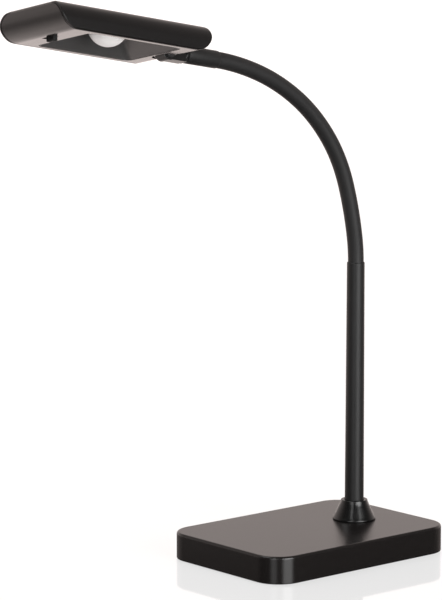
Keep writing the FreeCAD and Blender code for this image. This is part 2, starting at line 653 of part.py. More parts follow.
def make_hinge_bracket():
    half = BRACKET_LENGTH / 2
    plate = block(-BRACKET_WIDTH / 2, BRACKET_WIDTH / 2, -PIN_DISTANCE - half, -PIN_DISTANCE + half,
                  CEILING - BRACKET_THICKNESS, CEILING)
    bracket = plate
    for side in (1, -1):
        x0 = min(side * EAR_INSIDE_X, side * EAR_OUTSIDE_X)
        ear = block(x0, x0 + EAR_THICKNESS, -PIN_DISTANCE - EAR_HALF_LENGTH, -PIN_DISTANCE + EAR_HALF_LENGTH,
                    0, CEILING - BRACKET_THICKNESS)
        tip = rod(EAR_HALF_LENGTH, EAR_THICKNESS, Vector(x0, -PIN_DISTANCE, 0), RIGHT)
        tip = tip.common(block(x0, x0 + EAR_THICKNESS, -PIN_DISTANCE - EAR_HALF_LENGTH,
                               -PIN_DISTANCE + EAR_HALF_LENGTH, EAR_BOTTOM, EAR_HALF_LENGTH))
        bracket = bracket.fuse([ear, tip])
    reach = EAR_OUTSIDE_X * 2
    hole = rod(PIN_RADIUS + RUNNING_CLEARANCE, reach, PIN_CENTRE - RIGHT * EAR_OUTSIDE_X, RIGHT)
    bracket = bracket.cut(hole)
    for place in BRACKET_SCREW_PLACES:
        bracket = bracket.cut(rod(BRACKET_SCREW_RADIUS + FIT_CLEARANCE, CEILING, place))
    return in_head(bracket)


def make_bracket_screws():
    screws = []
    under_plate = CEILING - BRACKET_THICKNESS
    for place in BRACKET_SCREW_PLACES:
        bottom = place + UP * (under_plate - BRACKET_SCREW_HEAD_HEIGHT)
        head = rod(BRACKET_SCREW_HEAD_RADIUS, BRACKET_SCREW_HEAD_HEIGHT, bottom)
        length = BRACKET_THICKNESS + HEAD_WALL * 0.7
        screws.append(head.fuse(rod(BRACKET_SCREW_RADIUS, length, place + UP * under_plate)))
    return in_head(Part.Compound(screws))


def head_profile():
    """The head's outline seen from the side: upright ends with a large round below."""
    corners = [
        (HEAD_FRONT, HEAD_TOP), (HEAD_FRONT, HEAD_UNDERSIDE),
        (HEAD_REAR, HEAD_UNDERSIDE), (HEAD_REAR, HEAD_TOP),
    ]
    radii = [HEAD_TOP_RADIUS, HEAD_BOTTOM_RADIUS, HEAD_BOTTOM_RADIUS, HEAD_TOP_RADIUS]
    return rounded_wire([Vector(0, y, z) for y, z in corners], radii)


def across_head(wire):
    """The outline carried straight across the head's full width."""
    face = Part.Face(wire)
    body = face.extrude(Vector(HEAD_WIDTH, 0, 0))
    body.translate(Vector(-HEAD_WIDTH / 2, 0, 0))
    return body


def between_sides(inset):
    """The room between the head's two sides, each moved in by inset at right angles to itself."""
    half = HEAD_WIDTH / 2 - inset
    edge = max(HEAD_EDGE_RADIUS - inset, 0)
    side = HEAD_SIDE_RADIUS - inset
    shoulder = HEAD_WIDTH / 2 - HEAD_SIDE_RADIUS
    spring = HEAD_TOP - HEAD_SIDE_RADIUS
    y = HEAD_FRONT - HEAD_LENGTH
    slant = math.sin(math.pi / 4)
    above = Vector(shoulder, y, HEAD_TOP + 1)
    side_top = Vector(shoulder, y, spring + side)
    side_middle = Vector(shoulder + side * slant, y, spring + side * slant)
    side_foot = Vector(half, y, spring)
    edge_top = Vector(half, y, HEAD_UNDERSIDE + edge)
    edge_middle = Vector(half - edge * (1 - slant), y, HEAD_UNDERSIDE + edge * (1 - slant))
    edge_foot = Vector(half - edge, y, HEAD_UNDERSIDE)
    below = Vector(half - edge, y, HEAD_UNDERSIDE - 1)
    right = [
        Part.LineSegment(above, side_top).toShape(),
        Part.Arc(side_top, side_middle, side_foot).toShape(),
        Part.LineSegment(side_foot, edge_top).toShape(),
    ]
    if edge:
        right.append(Part.Arc(edge_top, edge_middle, edge_foot).toShape())
    right.append(Part.LineSegment(edge_foot, below).toShape())
    left = [edge_line.mirror(Vector(0, 0, 0), RIGHT) for edge_line in right]
    top = Part.LineSegment(Vector(-above.x, y, above.z), above).toShape()
    bottom = Part.LineSegment(Vector(-below.x, y, below.z), below).toShape()
    outline = Part.Wire(Part.__sortEdges__(right + left + [top, bottom]))
    return Part.Face(outline).extrude(Vector(0, HEAD_LENGTH * 3, 0))


OUTLINE = head_profile()
INNER_OUTLINE = Part.Face(OUTLINE).makeOffset2D(-HEAD_WALL).OuterWire
LIP_OUTLINE = Part.Face(OUTLINE).makeOffset2D(-HEAD_WALL - FIT_CLEARANCE).OuterWire
LIP_INSIDE = Part.Face(OUTLINE).makeOffset2D(-HEAD_WALL - FIT_CLEARANCE - CAP_LIP_WALL).OuterWire
NOTCH_FRONT = -PIN_DISTANCE - BARREL_RADIUS - NOTCH_GAP


def make_head_shell():
    shell = across_head(OUTLINE).cut(across_head(INNER_OUTLINE)).common(between_sides(CAP_THICKNESS))
    grow = REFLECTOR_SHEET + FIT_CLEARANCE
    opening = rounded_block(OPENING_HALF_WIDTH + grow, OPENING_FRONT - grow, OPENING_REAR + grow,
                            OPENING_CORNER_RADIUS + grow, HEAD_UNDERSIDE - 1, FLOOR + 1)
    notch = rounded_block(NOTCH_HALF_WIDTH, NOTCH_FRONT, HEAD_REAR + NOTCH_CORNER_RADIUS * 2,
                          NOTCH_CORNER_RADIUS, HEAD_UNDERSIDE - 1, NOTCH_TOP)
    slot_half = SWITCH_KNOB_LENGTH / 2 + SWITCH_TRAVEL / 2 + SWITCH_SLOT_GAP
    slot = block(-slot_half, slot_half, SWITCH_Y - SWITCH_KNOB_WIDTH / 2 - SWITCH_SLOT_GAP,
                 SWITCH_Y + SWITCH_KNOB_WIDTH / 2 + SWITCH_SLOT_GAP, HEAD_UNDERSIDE - 1, FLOOR + 1)
    shell = shell.cut(opening).cut(notch).cut(slot)
    for place in BRACKET_SCREW_PLACES:
        pilot = rod(BRACKET_SCREW_RADIUS + THREAD_CLEARANCE, HEAD_WALL * 0.75, place + UP * CEILING)
        shell = shell.cut(pilot)
    return in_head(shell)


def make_end_cap(side):
    """A thin side with a rounded top edge, and a lip that fits inside the shell."""
    plate = across_head(OUTLINE).common(between_sides(0).cut(between_sides(CAP_THICKNESS)))
    lip = across_head(LIP_OUTLINE).cut(across_head(LIP_INSIDE))
    lip = lip.common(between_sides(CAP_THICKNESS).cut(between_sides(CAP_THICKNESS + CAP_LIP)))
    x0 = min(0, side * HEAD_WIDTH)
    keep = block(x0, x0 + HEAD_WIDTH, HEAD_FRONT - 1, HEAD_REAR + 1, HEAD_UNDERSIDE - 1, HEAD_TOP + 1)
    return in_head(plate.common(keep).fuse(lip.common(keep)))


LENS_SPHERE_Z = HEAD_UNDERSIDE + LENS_SINK + LENS_RADIUS
SPREADER_BOTTOM = CEILING - SPREADER_THICKNESS
BOARD_BOTTOM = SPREADER_BOTTOM - BOARD_THICKNESS
LENS_FLANGE_BOTTOM = BOARD_BOTTOM - LENS_FLANGE_HEIGHT
REFLECTOR_FLOOR = LENS_FLANGE_BOTTOM - EASY_CLEARANCE - REFLECTOR_SHEET
REFLECTOR_RIM = HEAD_UNDERSIDE + REFLECTOR_RIM_DEPTH
LENS_AXIS = Vector(0, LENS_CENTRE, 0)
SPREADER_FRONT = LENS_CENTRE - SPREADER_FRONT_REACH
BOARD_FRONT = LENS_CENTRE - BOARD_FRONT_REACH
BOARD_REAR = -PIN_DISTANCE - BRACKET_LENGTH / 2 - EASY_CLEARANCE


def make_lens():
    """A hollow dome on a thin round flange that rests on the light board."""
    sphere_centre = LENS_AXIS + UP * LENS_SPHERE_Z
    reach = LENS_RADIUS + 1
    below = block(-reach, reach, LENS_CENTRE - reach, LENS_CENTRE + reach,
                  HEAD_UNDERSIDE - 2, LENS_FLANGE_BOTTOM)
    dome = Part.makeSphere(LENS_RADIUS, sphere_centre).common(below)
    flange = rod(LENS_FLANGE_RADIUS, LENS_FLANGE_HEIGHT, LENS_AXIS + UP * LENS_FLANGE_BOTTOM)
    hollow = Part.makeSphere(LENS_RADIUS - LENS_WALL, sphere_centre)
    return in_head(dome.fuse(flange).cut(hollow))


def tray(grow, z0, z1):
    """The reflector's sloping room between heights z0 and z1, grown sideways by grow."""
    low = rounded_rectangle(OPENING_HALF_WIDTH + grow, OPENING_FRONT - grow, OPENING_REAR + grow,
                            OPENING_CORNER_RADIUS + grow, z0)
    high = rounded_rectangle(REFLECTOR_FLOOR_HALF_WIDTH + grow, OPENING_FRONT + REFLECTOR_FLOOR_INSET - grow,
                             OPENING_REAR - REFLECTOR_FLOOR_INSET + grow, REFLECTOR_FLOOR_RADIUS + grow, z1)
    return Part.makeLoft([low, high], True)


def make_reflector():
    top = REFLECTOR_FLOOR + REFLECTOR_SHEET
    body = tray(REFLECTOR_SHEET, REFLECTOR_RIM, top)
    inside = tray(0, REFLECTOR_RIM, REFLECTOR_FLOOR)
    brim = REFLECTOR_SHEET + FIT_CLEARANCE + REFLECTOR_FLANGE
    flange = rounded_block(OPENING_HALF_WIDTH + brim, OPENING_FRONT - brim, OPENING_REAR + brim,
                           OPENING_CORNER_RADIUS, FLOOR, FLOOR + REFLECTOR_SHEET)
    hole = rod(LENS_RADIUS + EASY_CLEARANCE, REFLECTOR_SHEET + 2, LENS_AXIS + UP * (REFLECTOR_FLOOR - 1))
    return in_head(body.fuse(flange).cut(inside).cut(hole))


def make_heat_spreader():
    return in_head(rounded_block(SPREADER_HALF_WIDTH, SPREADER_FRONT, BOARD_REAR, SPREADER_CORNER_RADIUS,
                                 SPREADER_BOTTOM, CEILING))


def make_led_board():
    return in_head(rounded_block(BOARD_HALF_WIDTH, BOARD_FRONT, BOARD_REAR, BOARD_CORNER_RADIUS,
                                 BOARD_BOTTOM, SPREADER_BOTTOM))


def make_led_emitters():
    chips = []
    half = EMITTER_SIDE / 2
    middle = (EMITTER_ROWS - 1) / 2
    for i in range(EMITTER_ROWS):
        for j in range(EMITTER_ROWS):
            x = (i - middle) * EMITTER_PITCH
            y = LENS_CENTRE + (j - middle) * EMITTER_PITCH
            bottom = BOARD_BOTTOM - EMITTER_HEIGHT
            chips.append(block(x - half, x + half, y - half, y + half, bottom, BOARD_BOTTOM))
    return in_head(Part.Compound(chips))


def make_driver_board():
    """A small board beside the light board, with its chips on the underside."""
    rear = BOARD_FRONT - EASY_CLEARANCE
    front = max(rear - DRIVER_LENGTH, SPREADER_FRONT)
    board = block(-DRIVER_HALF_WIDTH, DRIVER_HALF_WIDTH, front, rear, BOARD_BOTTOM, SPREADER_BOTTOM)
    chip_bottom = BOARD_BOTTOM - DRIVER_CHIP_HEIGHT
    middle = (front + rear) / 2
    half_chip = DRIVER_HALF_WIDTH * 0.2
    chip = block(-half_chip, half_chip, middle - half_chip, middle + half_chip, chip_bottom, BOARD_BOTTOM)
    coil = rod(DRIVER_HALF_WIDTH * 0.17, DRIVER_CHIP_HEIGHT,
               Vector(-DRIVER_HALF_WIDTH * 0.62, middle, chip_bottom))
    half_capacitor = DRIVER_HALF_WIDTH * 0.13
    capacitor_x = DRIVER_HALF_WIDTH * 0.62
    capacitor = block(capacitor_x - half_capacitor, capacitor_x + half_capacitor,
                      middle - half_capacitor, middle + half_capacitor, chip_bottom, BOARD_BOTTOM)
    return in_head(board.fuse([chip, coil, capacitor]))


def make_knuckle_lead():
    """Through the spigot and up out of the knuckle."""
    exit_y = lead_exit_y()
    bend = CORE_BORE_RADIUS * 0.8
    radius = HEAD_LEAD_RADIUS
    start = Vector(0, SPIGOT_END - RUNNING_CLEARANCE, 0)
    turn_start = Vector(0, exit_y + bend, 0)
    turn_middle = Vector(0, exit_y + bend * (1 - math.sin(math.pi / 4)), bend * (1 - math.cos(math.pi / 4)))
    turn_end = Vector(0, exit_y, bend)
    top = Vector(0, exit_y, TONGUE_HEIGHT / 2)
    path = Part.Wire([
        Part.LineSegment(start, turn_start).toShape(),
        Part.Arc(turn_start, turn_middle, turn_end).toShape(),
        Part.LineSegment(turn_end, top).toShape(),
    ])
    section = Part.Wire([Part.Circle(start, REAR, radius).toShape()])
    return in_head(path.makePipeShell([section], True, False))


def make_head_lead():
    """Over the hinge barrel, forward between the ears, and up to the light board."""
    exit_y = lead_exit_y()
    level = (BARREL_RADIUS + CEILING - BRACKET_THICKNESS) / 2
    bend = 2.2
    far_y = BOARD_REAR - HEAD_LEAD_RADIUS - 1.0
    quarter = 1 - math.sin(math.pi / 4)
    first = Vector(0, exit_y, TONGUE_HEIGHT / 2)
    up_end = Vector(0, exit_y, level - bend)
    up_middle = Vector(0, exit_y - bend * quarter, level - bend * quarter)
    run_start = Vector(0, exit_y - bend, level)
    rise = BOARD_BOTTOM - level
    run_end = Vector(0, far_y + rise, level)
    rise_middle = Vector(0, far_y + rise * quarter, level + rise * quarter)
    last = Vector(0, far_y, BOARD_BOTTOM)
    path = Part.Wire([
        Part.LineSegment(first, up_end).toShape(),
        Part.Arc(up_end, up_middle, run_start).toShape(),
        Part.LineSegment(run_start, run_end).toShape(),
        Part.Arc(run_end, rise_middle, last).toShape(),
    ])
    section = Part.Wire([Part.Circle(first, UP, HEAD_LEAD_RADIUS).toShape()])
    return in_head(path.makePipeShell([section], True, False))


SWITCH_BODY_BOTTOM = FLOOR
KNOB_REST = SWITCH_TRAVEL / 2
KNOB_BOTTOM = HEAD_UNDERSIDE - SWITCH_KNOB_STANDS_OUT
STUB_HALF_LENGTH = SWITCH_KNOB_LENGTH / 4
STUB_HALF_WIDTH = SWITCH_STUB_WIDTH / 2


def make_switch_body():
    half_x = SWITCH_BODY_LENGTH / 2
    half_y = SWITCH_BODY_WIDTH / 2
    body = block(-half_x, half_x, SWITCH_Y - half_y, SWITCH_Y + half_y,
                 SWITCH_BODY_BOTTOM, SWITCH_BODY_BOTTOM + SWITCH_BODY_HEIGHT)
    window_x = STUB_HALF_LENGTH + SWITCH_TRAVEL / 2 + SWITCH_SLOT_GAP
    window_y = STUB_HALF_WIDTH + SWITCH_SLOT_GAP
    window = block(-window_x, window_x, SWITCH_Y - window_y, SWITCH_Y + window_y,
                   SWITCH_BODY_BOTTOM, SWITCH_BODY_BOTTOM + SWITCH_STUB_HEIGHT + EASY_CLEARANCE)
    return in_head(body.cut(window))


def make_switch_knob():
    """The ribbed thumb piece, with the stub that slides in the switch body."""
    half_x = SWITCH_KNOB_LENGTH / 2
    half_y = SWITCH_KNOB_WIDTH / 2
    front = SWITCH_Y - half_y
    rear = SWITCH_Y + half_y
    top = SWITCH_BODY_BOTTOM - RUNNING_CLEARANCE
    knob = block(KNOB_REST - half_x, KNOB_REST + half_x, front, rear, KNOB_BOTTOM, top)
    pitch = SWITCH_KNOB_LENGTH / (SWITCH_GROOVES + 1)
    depth = SWITCH_GROOVE_DEPTH
    groove_top = HEAD_UNDERSIDE - depth
    for i in range(SWITCH_GROOVES):
        x = KNOB_REST - half_x + pitch * (i + 1)
        around = block(x - pitch / 4, x + pitch / 4, front, rear, KNOB_BOTTOM, groove_top)
        core = block(x - pitch / 4, x + pitch / 4, front + depth, rear - depth,
                     KNOB_BOTTOM + depth, groove_top)
        knob = knob.cut(around.cut(core))
    stub = block(KNOB_REST - STUB_HALF_LENGTH, KNOB_REST + STUB_HALF_LENGTH,
                 SWITCH_Y - STUB_HALF_WIDTH, SWITCH_Y + STUB_HALF_WIDTH,
                 top, SWITCH_BODY_BOTTOM + SWITCH_STUB_HEIGHT)
    return in_head(knob.fuse(stub))


def main():
    save("base_cover", make_base_cover())
    save("base_weight", make_base_weight())
    save("bottom_plate", make_bottom_plate())
    save("rubber_feet", make_rubber_feet())
    save("base_screws", make_base_screws())
    save("power_inlet", make_power_inlet())
    save("base_lead", make_base_lead())
    save("stem_collar", make_stem_collar())
    save("stem_tube", make_stem_tube())
    save("stem_sleeve", make_stem_sleeve())
    save("stem_washer", make_stem_washer())
    save("stem_nut", make_stem_nut())
    for i in range(len(STRETCHES)):
        number = str(i + 1)
        save("neck_sleeve_" + number, make_neck_sleeve(i))
        save("neck_core_" + number, make_neck_core(i))
        save("neck_lead_" + number, make_neck_lead(i))
        if i > 0:
            save("core_flex_" + str(i), make_core_flex(i))
    save("neck_ferrule", make_neck_ferrule())
    save("end_bush", make_end_bush())
    save("swivel_clip", make_swivel_clip())
    save("knuckle", make_knuckle())
    save("knuckle_lead", make_knuckle_lead())
    save("hinge_pin", make_hinge_pin())
    save("hinge_nut", make_hinge_nut())
    save("friction_washers", make_friction_washers())
    save("hinge_bracket", make_hinge_bracket())
    save("bracket_screws", make_bracket_screws())
    save("head_shell", make_head_shell())
    save("end_cap_right", make_end_cap(1))
    save("end_cap_left", make_end_cap(-1))
    save("reflector", make_reflector())
    save("lens", make_lens())
    save("heat_spreader", make_heat_spreader())
    save("led_board", make_led_board())
    save("led_emitters", make_led_emitters())
    save("driver_board", make_driver_board())
    save("head_lead", make_head_lead())
    save("switch_body", make_switch_body())
    save("switch_knob", make_switch_knob())
    print("neck end", NECK_END, "head tilt", round(HEAD_TILT, 3))


main()
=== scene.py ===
import json
import math

import bmesh
import bpy
from bpy.props import FloatProperty, FloatVectorProperty, IntProperty, PointerProperty
from mathutils import Matrix, Quaternion, Vector


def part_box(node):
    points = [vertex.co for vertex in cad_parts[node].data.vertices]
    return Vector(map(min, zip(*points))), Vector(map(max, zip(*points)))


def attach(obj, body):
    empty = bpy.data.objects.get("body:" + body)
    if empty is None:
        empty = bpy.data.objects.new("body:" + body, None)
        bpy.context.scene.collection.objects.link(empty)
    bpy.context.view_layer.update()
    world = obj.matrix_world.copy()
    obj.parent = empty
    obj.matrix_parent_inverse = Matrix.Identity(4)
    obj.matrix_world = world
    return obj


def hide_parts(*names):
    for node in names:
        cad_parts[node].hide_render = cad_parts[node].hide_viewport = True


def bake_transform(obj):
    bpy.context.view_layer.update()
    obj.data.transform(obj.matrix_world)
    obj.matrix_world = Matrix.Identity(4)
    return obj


bl_info = {
    "name": "Piano lamp",
    "version": (1, 0, 0),
    "blender": (4, 5, 0),
    "location": "3D View > Sidebar > Piano Lamp",
    "description": "Builds the visible pieces of a black piano lamp around its packed frame",
    "category": "Object",
}

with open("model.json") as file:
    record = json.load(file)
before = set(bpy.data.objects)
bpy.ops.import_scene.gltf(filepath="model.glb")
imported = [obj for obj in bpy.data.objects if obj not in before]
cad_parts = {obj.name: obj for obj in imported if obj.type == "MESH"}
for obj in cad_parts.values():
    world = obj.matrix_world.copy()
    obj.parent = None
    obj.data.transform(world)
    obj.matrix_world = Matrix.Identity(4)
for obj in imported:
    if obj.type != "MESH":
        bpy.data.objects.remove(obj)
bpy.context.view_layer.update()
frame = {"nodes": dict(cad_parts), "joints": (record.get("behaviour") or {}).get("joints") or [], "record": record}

MM = 0.001
JOINTS = {joint["name"]: joint for joint in frame["joints"]}
BENDS = ["neck_bend_1", "neck_bend_2", "neck_bend_3", "neck_bend_4", "neck_bend_5"]
NECK_POINTS = [Vector(JOINTS[name]["pos_m"]) for name in ["neck_turn"] + BENDS + ["head_swivel"]]
RIGHT = Vector((1.0, 0.0, 0.0))
UP = Vector((0.0, 0.0, 1.0))
HEAD_ACROSS = Vector(JOINTS["head_tilt"]["axis"]).normalized()
HEAD_BACK = -Vector(JOINTS["head_swivel"]["axis"]).normalized()
HEAD_UP = HEAD_ACROSS.cross(HEAD_BACK).normalized()
NECK_END = NECK_POINTS[-1]
STEM_Y = NECK_POINTS[0].y


def node_size(node, axis):
    low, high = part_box(node)
    return high[axis] - low[axis]


def matrix_of(across, back, up, origin):
    """The matrix that takes a local point to the row frame, from its three directions and origin."""
    turn = Matrix((across, back, up)).transposed()
    return Matrix.Translation(origin) @ turn.to_4x4()


HEAD_FRAME = matrix_of(HEAD_ACROSS, HEAD_BACK, HEAD_UP, NECK_END)
STEM_FRAME = Matrix.Translation((0.0, STEM_Y, 0.0))
NECK_END_FRAME = matrix_of(RIGHT, HEAD_BACK, RIGHT.cross(HEAD_BACK), NECK_END)


def length_of(name, description, default, smallest=0.0):
    return FloatProperty(name=name, description=description, default=default, min=smallest,
                         unit="LENGTH", precision=5)


def place_of(name, description, default):
    return FloatProperty(name=name, description=description, default=default, unit="LENGTH", precision=5)


def colour_of(name, description, default):
    return FloatVectorProperty(name=name, description=description, default=default,
                               size=3, min=0.0, max=1.0, subtype="COLOR")


def level_of(name, description, default):
    return FloatProperty(name=name, description=description, default=default, min=0.0, max=2.0,
                         subtype="FACTOR")


def power_of(name, description, default):
    return FloatProperty(name=name, description=description, default=default, min=0.0, unit="POWER")


class BaseSizes(bpy.types.PropertyGroup):
    """Sizes of the weighted base"""

    width: length_of("Width", "Width of the base cover", node_size("base_cover", 0))
    length: length_of("Length", "Length of the base cover", node_size("base_cover", 1))
    bottom: length_of("Bottom", "Height of the cover's lower edge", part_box("base_cover")[0].z)
    top: length_of("Top", "Height of the cover's top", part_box("base_cover")[1].z)
    corner: length_of("Corner radius", "Radius of the upright corners", 20.0 * MM)
    edge: length_of("Edge radius", "Radius of the top edge", 1.8 * MM)
    foot_edge: length_of("Foot edge", "Radius of the lower edge", 0.5 * MM)
    wall: length_of("Wall", "Thickness of the cover's walls", 2.4 * MM)
    roof: length_of("Roof", "Thickness of the cover's top", 3.0 * MM)
    inlet_height: length_of("Inlet height", "Height of the power inlet's axis", 9.6 * MM)
    inlet_hole: length_of("Inlet hole", "Radius of the hole for the power inlet", 4.1 * MM)


class StemSizes(bpy.types.PropertyGroup):
    """Sizes of the collar and the stem"""

    collar_foot: length_of("Collar foot", "Radius of the collar's foot", 16.0 * MM)
    collar_top: length_of("Collar top", "Radius of the collar's rim", 9.9 * MM)
    collar_height: length_of("Collar height", "Height of the collar", 14.8 * MM)
    bore: length_of("Bore", "Radius of the hole that the stem stands in", 7.15 * MM)
    foot: length_of("Stem foot", "Radius of the stem at its foot", 7.05 * MM)
    top: length_of("Stem top", "Radius of the stem at its top", 6.55 * MM)
    inside: length_of("Inside", "Inner radius of the stem's sleeve", 5.1 * MM)


class NeckSizes(bpy.types.PropertyGroup):
    """Sizes of the flexible neck"""

    radius: length_of("Radius", "Outer radius of the neck's sleeve", 5.85 * MM)
    inside: length_of("Inside", "Inner radius of the neck's sleeve", 3.8 * MM)
    rings: IntProperty(name="Rings", description="Rings of points along half a stretch",
                       default=16, min=4, max=64)
    around: IntProperty(name="Around", description="Points round the neck", default=64, min=16, max=128)


class JointSizes(bpy.types.PropertyGroup):
    """Sizes of the ferrule and the knuckle between the neck and the head"""

    ferrule: length_of("Ferrule radius", "Outer radius of the ferrule", 6.3 * MM)
    ferrule_length: length_of("Ferrule length", "Length of the ferrule", 28.6 * MM)
    shoulder: length_of("Shoulder radius", "Radius of the knuckle's shoulder", 6.3 * MM)
    shoulder_length: length_of("Shoulder length", "Length of the knuckle's shoulder", 2.4 * MM)
    spigot: length_of("Spigot radius", "Radius of the knuckle's spigot", 3.4 * MM)
    tongue_width: length_of("Tongue width", "Width of the knuckle's tongue", 10.0 * MM)
    tongue_height: length_of("Tongue height", "Height of the knuckle's tongue", 12.4 * MM)
    barrel: length_of("Barrel radius", "Radius of the hinge barrel", 6.7 * MM)
    pin_distance: length_of("Pin distance", "From the neck's end to the hinge pin", 46.0 * MM)
    pin_hole: length_of("Pin hole", "Radius of the barrel's bore", 2.05 * MM)


class HeadSizes(bpy.types.PropertyGroup):
    """Sizes of the head shell and its end caps; places count back from the neck's end"""

    front: place_of("Front", "Place of the head's front face", -163.6 * MM)
    rear: place_of("Rear", "Place of the head's rear face", -32.6 * MM)
    underside: place_of("Underside", "Height of the underside over the hinge's line", -3.9 * MM)
    thickness: length_of("Thickness", "Thickness of the head", 19.0 * MM)
    width: length_of("Width", "Width of the head", 69.6 * MM)
    side_round: length_of("Side round", "Radius of the sides' upper edges", 12.4 * MM)
    edge_round: length_of("Edge round", "Radius of the sides' lower edges", 1.6 * MM)
    top_round: length_of("Upper corner", "Radius of the upper front and rear corners", 2.4 * MM)
    low_round: length_of("Lower corner", "Radius of the lower front and rear corners", 14.0 * MM)
    wall: length_of("Wall", "Thickness of the shell", 1.8 * MM)
    cap: length_of("Cap", "Thickness of the end caps", 1.6 * MM)
    cap_edge: length_of("Cap edge", "Rounding of the end caps' front and rear edges", 0.5 * MM)
    seam: length_of("Seam", "Gap at the end caps' seam", 0.6 * MM)
    notch_half: length_of("Notch", "Half the width of the notch for the knuckle", 10.5 * MM)
    notch_front: place_of("Notch front", "Place of the notch's front end", -53.2 * MM)
    notch_top: length_of("Notch top", "Height of the notch over the hinge's line", 9.4 * MM)
    notch_round: length_of("Notch round", "Radius of the notch's corners", 7.0 * MM)


class LightSizes(bpy.types.PropertyGroup):
    """Sizes of the opening, the reflector, the dome and the switch"""

    front: place_of("Opening front", "Front edge of the opening", -135.0 * MM)
    rear: place_of("Opening rear", "Rear edge of the opening", -56.2 * MM)
    half: length_of("Opening half", "Half the opening's width", 28.0 * MM)
    corner: length_of("Opening corner", "Radius of the opening's corners", 4.0 * MM)
    sheet: length_of("Sheet", "Thickness of the reflector", 1.0 * MM)
    rim: length_of("Rim depth", "Depth of the reflector's rim in the opening", 0.3 * MM)
    floor: length_of("Floor", "Height of the reflector's floor over the hinge's line", 8.8 * MM)
    floor_half: length_of("Floor half", "Half the width of the reflector's floor", 20.0 * MM)
    floor_inset: length_of("Floor inset", "How far the floor stands in from the opening's ends", 12.5 * MM)
    dome_centre: place_of("Dome centre", "Place of the dome along the head", -97.0 * MM)
    dome: length_of("Dome radius", "Radius of the frosted dome", 14.2 * MM)
    dome_sink: length_of("Dome sink", "Depth of the dome's top under the underside", 0.2 * MM)
    dome_flange: length_of("Dome flange", "Radius of the flange behind the reflector", 16.4 * MM)
    switch_centre: place_of("Switch centre", "Place of the switch along the head", -146.6 * MM)
    knob_length: length_of("Knob length", "Length of the switch knob", 8.0 * MM)
    knob_width: length_of("Knob width", "Width of the switch knob", 3.6 * MM)
    knob_proud: length_of("Knob proud", "How far the knob stands out", 3.0 * MM)
    travel: length_of("Travel", "How far the knob slides", 4.0 * MM)


class StageLevels(bpy.types.PropertyGroup):
    """Levels of the floor, the world and the lamps"""

    floor: colour_of("Floor", "Colour of the floor", (0.86, 0.86, 0.86))
    floor_glow: level_of("Floor glow", "White that the camera sees over the floor's own shading", 0.66)
    warm: colour_of("Warm light", "Colour of the room's light", (1.0, 0.88, 0.84))
    sky_front: level_of("Room level", "World level on the lamp's right", 0.06)
    sky_back: level_of("Backdrop level", "World level on the lamp's left and behind it", 0.85)
    key: power_of("Key lamp", "Power of the lamp overhead", 7.0)
    left_box: power_of("Left softbox", "Power of the narrow softbox", 5.0)
    right_box: power_of("Right softbox", "Power of the wide softbox", 22.0)
    strips: power_of("Strips", "Power of each of the two narrow strip lamps", 1.4)


# Meshes


def ring_mesh(rings, close_start=True, close_end=True, loop=False):
    """Points and faces of a skin through rings of equally many points."""
    count = len(rings[0])
    points = [point for ring in rings for point in ring]
    faces = []
    steps = len(rings) if loop else len(rings) - 1
    for i in range(steps):
        low = i * count
        high = ((i + 1) % len(rings)) * count
        for j in range(count):
            k = (j + 1) % count
            faces.append((low + j, low + k, high + k, high + j))
    if close_start and not loop:
        faces.append(tuple(reversed(range(count))))
    if close_end and not loop:
        last = (len(rings) - 1) * count
        faces.append(tuple(range(last, last + count)))
    return points, faces


def turned_mesh(profile, around=96, loop=True):
    """A turned body from (radius, height) pairs in metres; a closed profile makes a ring-shaped body."""
    rings = []
    for radius, height in profile:
        ring = []
        for j in range(around):
            angle = 2 * math.pi * j / around
            ring.append(Vector((radius * math.cos(angle), radius * math.sin(angle), height)))
        rings.append(ring)
    return ring_mesh(rings, not loop, not loop, loop)


def arc_points(centre, radius, start, end, steps):
    """Points on an arc in a plane, as pairs, from the start angle to the end angle in degrees."""
    points = []
    for i in range(steps + 1):
        angle = math.radians(start + (end - start) * i / steps)
        points.append((centre[0] + radius * math.cos(angle), centre[1] + radius * math.sin(angle)))
    return points


def rounded_outline(corners, radii, steps=10):
    """A closed outline of pairs, with each corner of the polygon rounded by its own radius."""
    outline = []
    count = len(corners)
    for i in range(count):
        corner = Vector(corners[i])
        back = (Vector(corners[i - 1]) - corner).normalized()
        ahead = (Vector(corners[(i + 1) % count]) - corner).normalized()
        half = back.angle(ahead) / 2
        middle = (back + ahead).normalized()
        centre = corner + middle * (radii[i] / math.sin(half))
        first = corner + back * (radii[i] / math.tan(half)) - centre
        last = corner + ahead * (radii[i] / math.tan(half)) - centre
        sweep = first.angle_signed(last)
        for j in range(steps + 1):
            turn = Matrix.Rotation(-sweep * j / steps, 2)
            outline.append(tuple(centre + turn @ first))
    return outline


def rectangle_outline(half_x, y0, y1, radius, steps=10):
    corners = [(half_x, y0), (half_x, y1), (-half_x, y1), (-half_x, y0)]
    return rounded_outline(corners, [radius] * len(corners), steps)


def level_ring(outline, height):
    return [Vector((x, y, height)) for x, y in outline]


def make_object(name, points, faces, placement=None, smooth=35.0):
    """A mesh object with outward faces, smooth but for edges sharper than the angle in degrees."""
    mesh = bpy.data.meshes.new(name)
    mesh.from_pydata([tuple(point) for point in points], [], faces)
    tidy_mesh(mesh)
    if placement is not None:
        mesh.transform(placement)
    shade(mesh, smooth)
    thing = bpy.data.objects.new(name, mesh)
    bpy.context.scene.collection.objects.link(thing)
    return thing


def tidy_mesh(mesh):
    work = bmesh.new()
    work.from_mesh(mesh)
    bmesh.ops.remove_doubles(work, verts=work.verts, dist=1e-7)
    bmesh.ops.recalc_face_normals(work, faces=work.faces)
    work.to_mesh(mesh)
    work.free()


def shade(mesh, angle):
    mesh.shade_smooth()
    mesh.set_sharp_from_angle(angle=math.radians(angle))


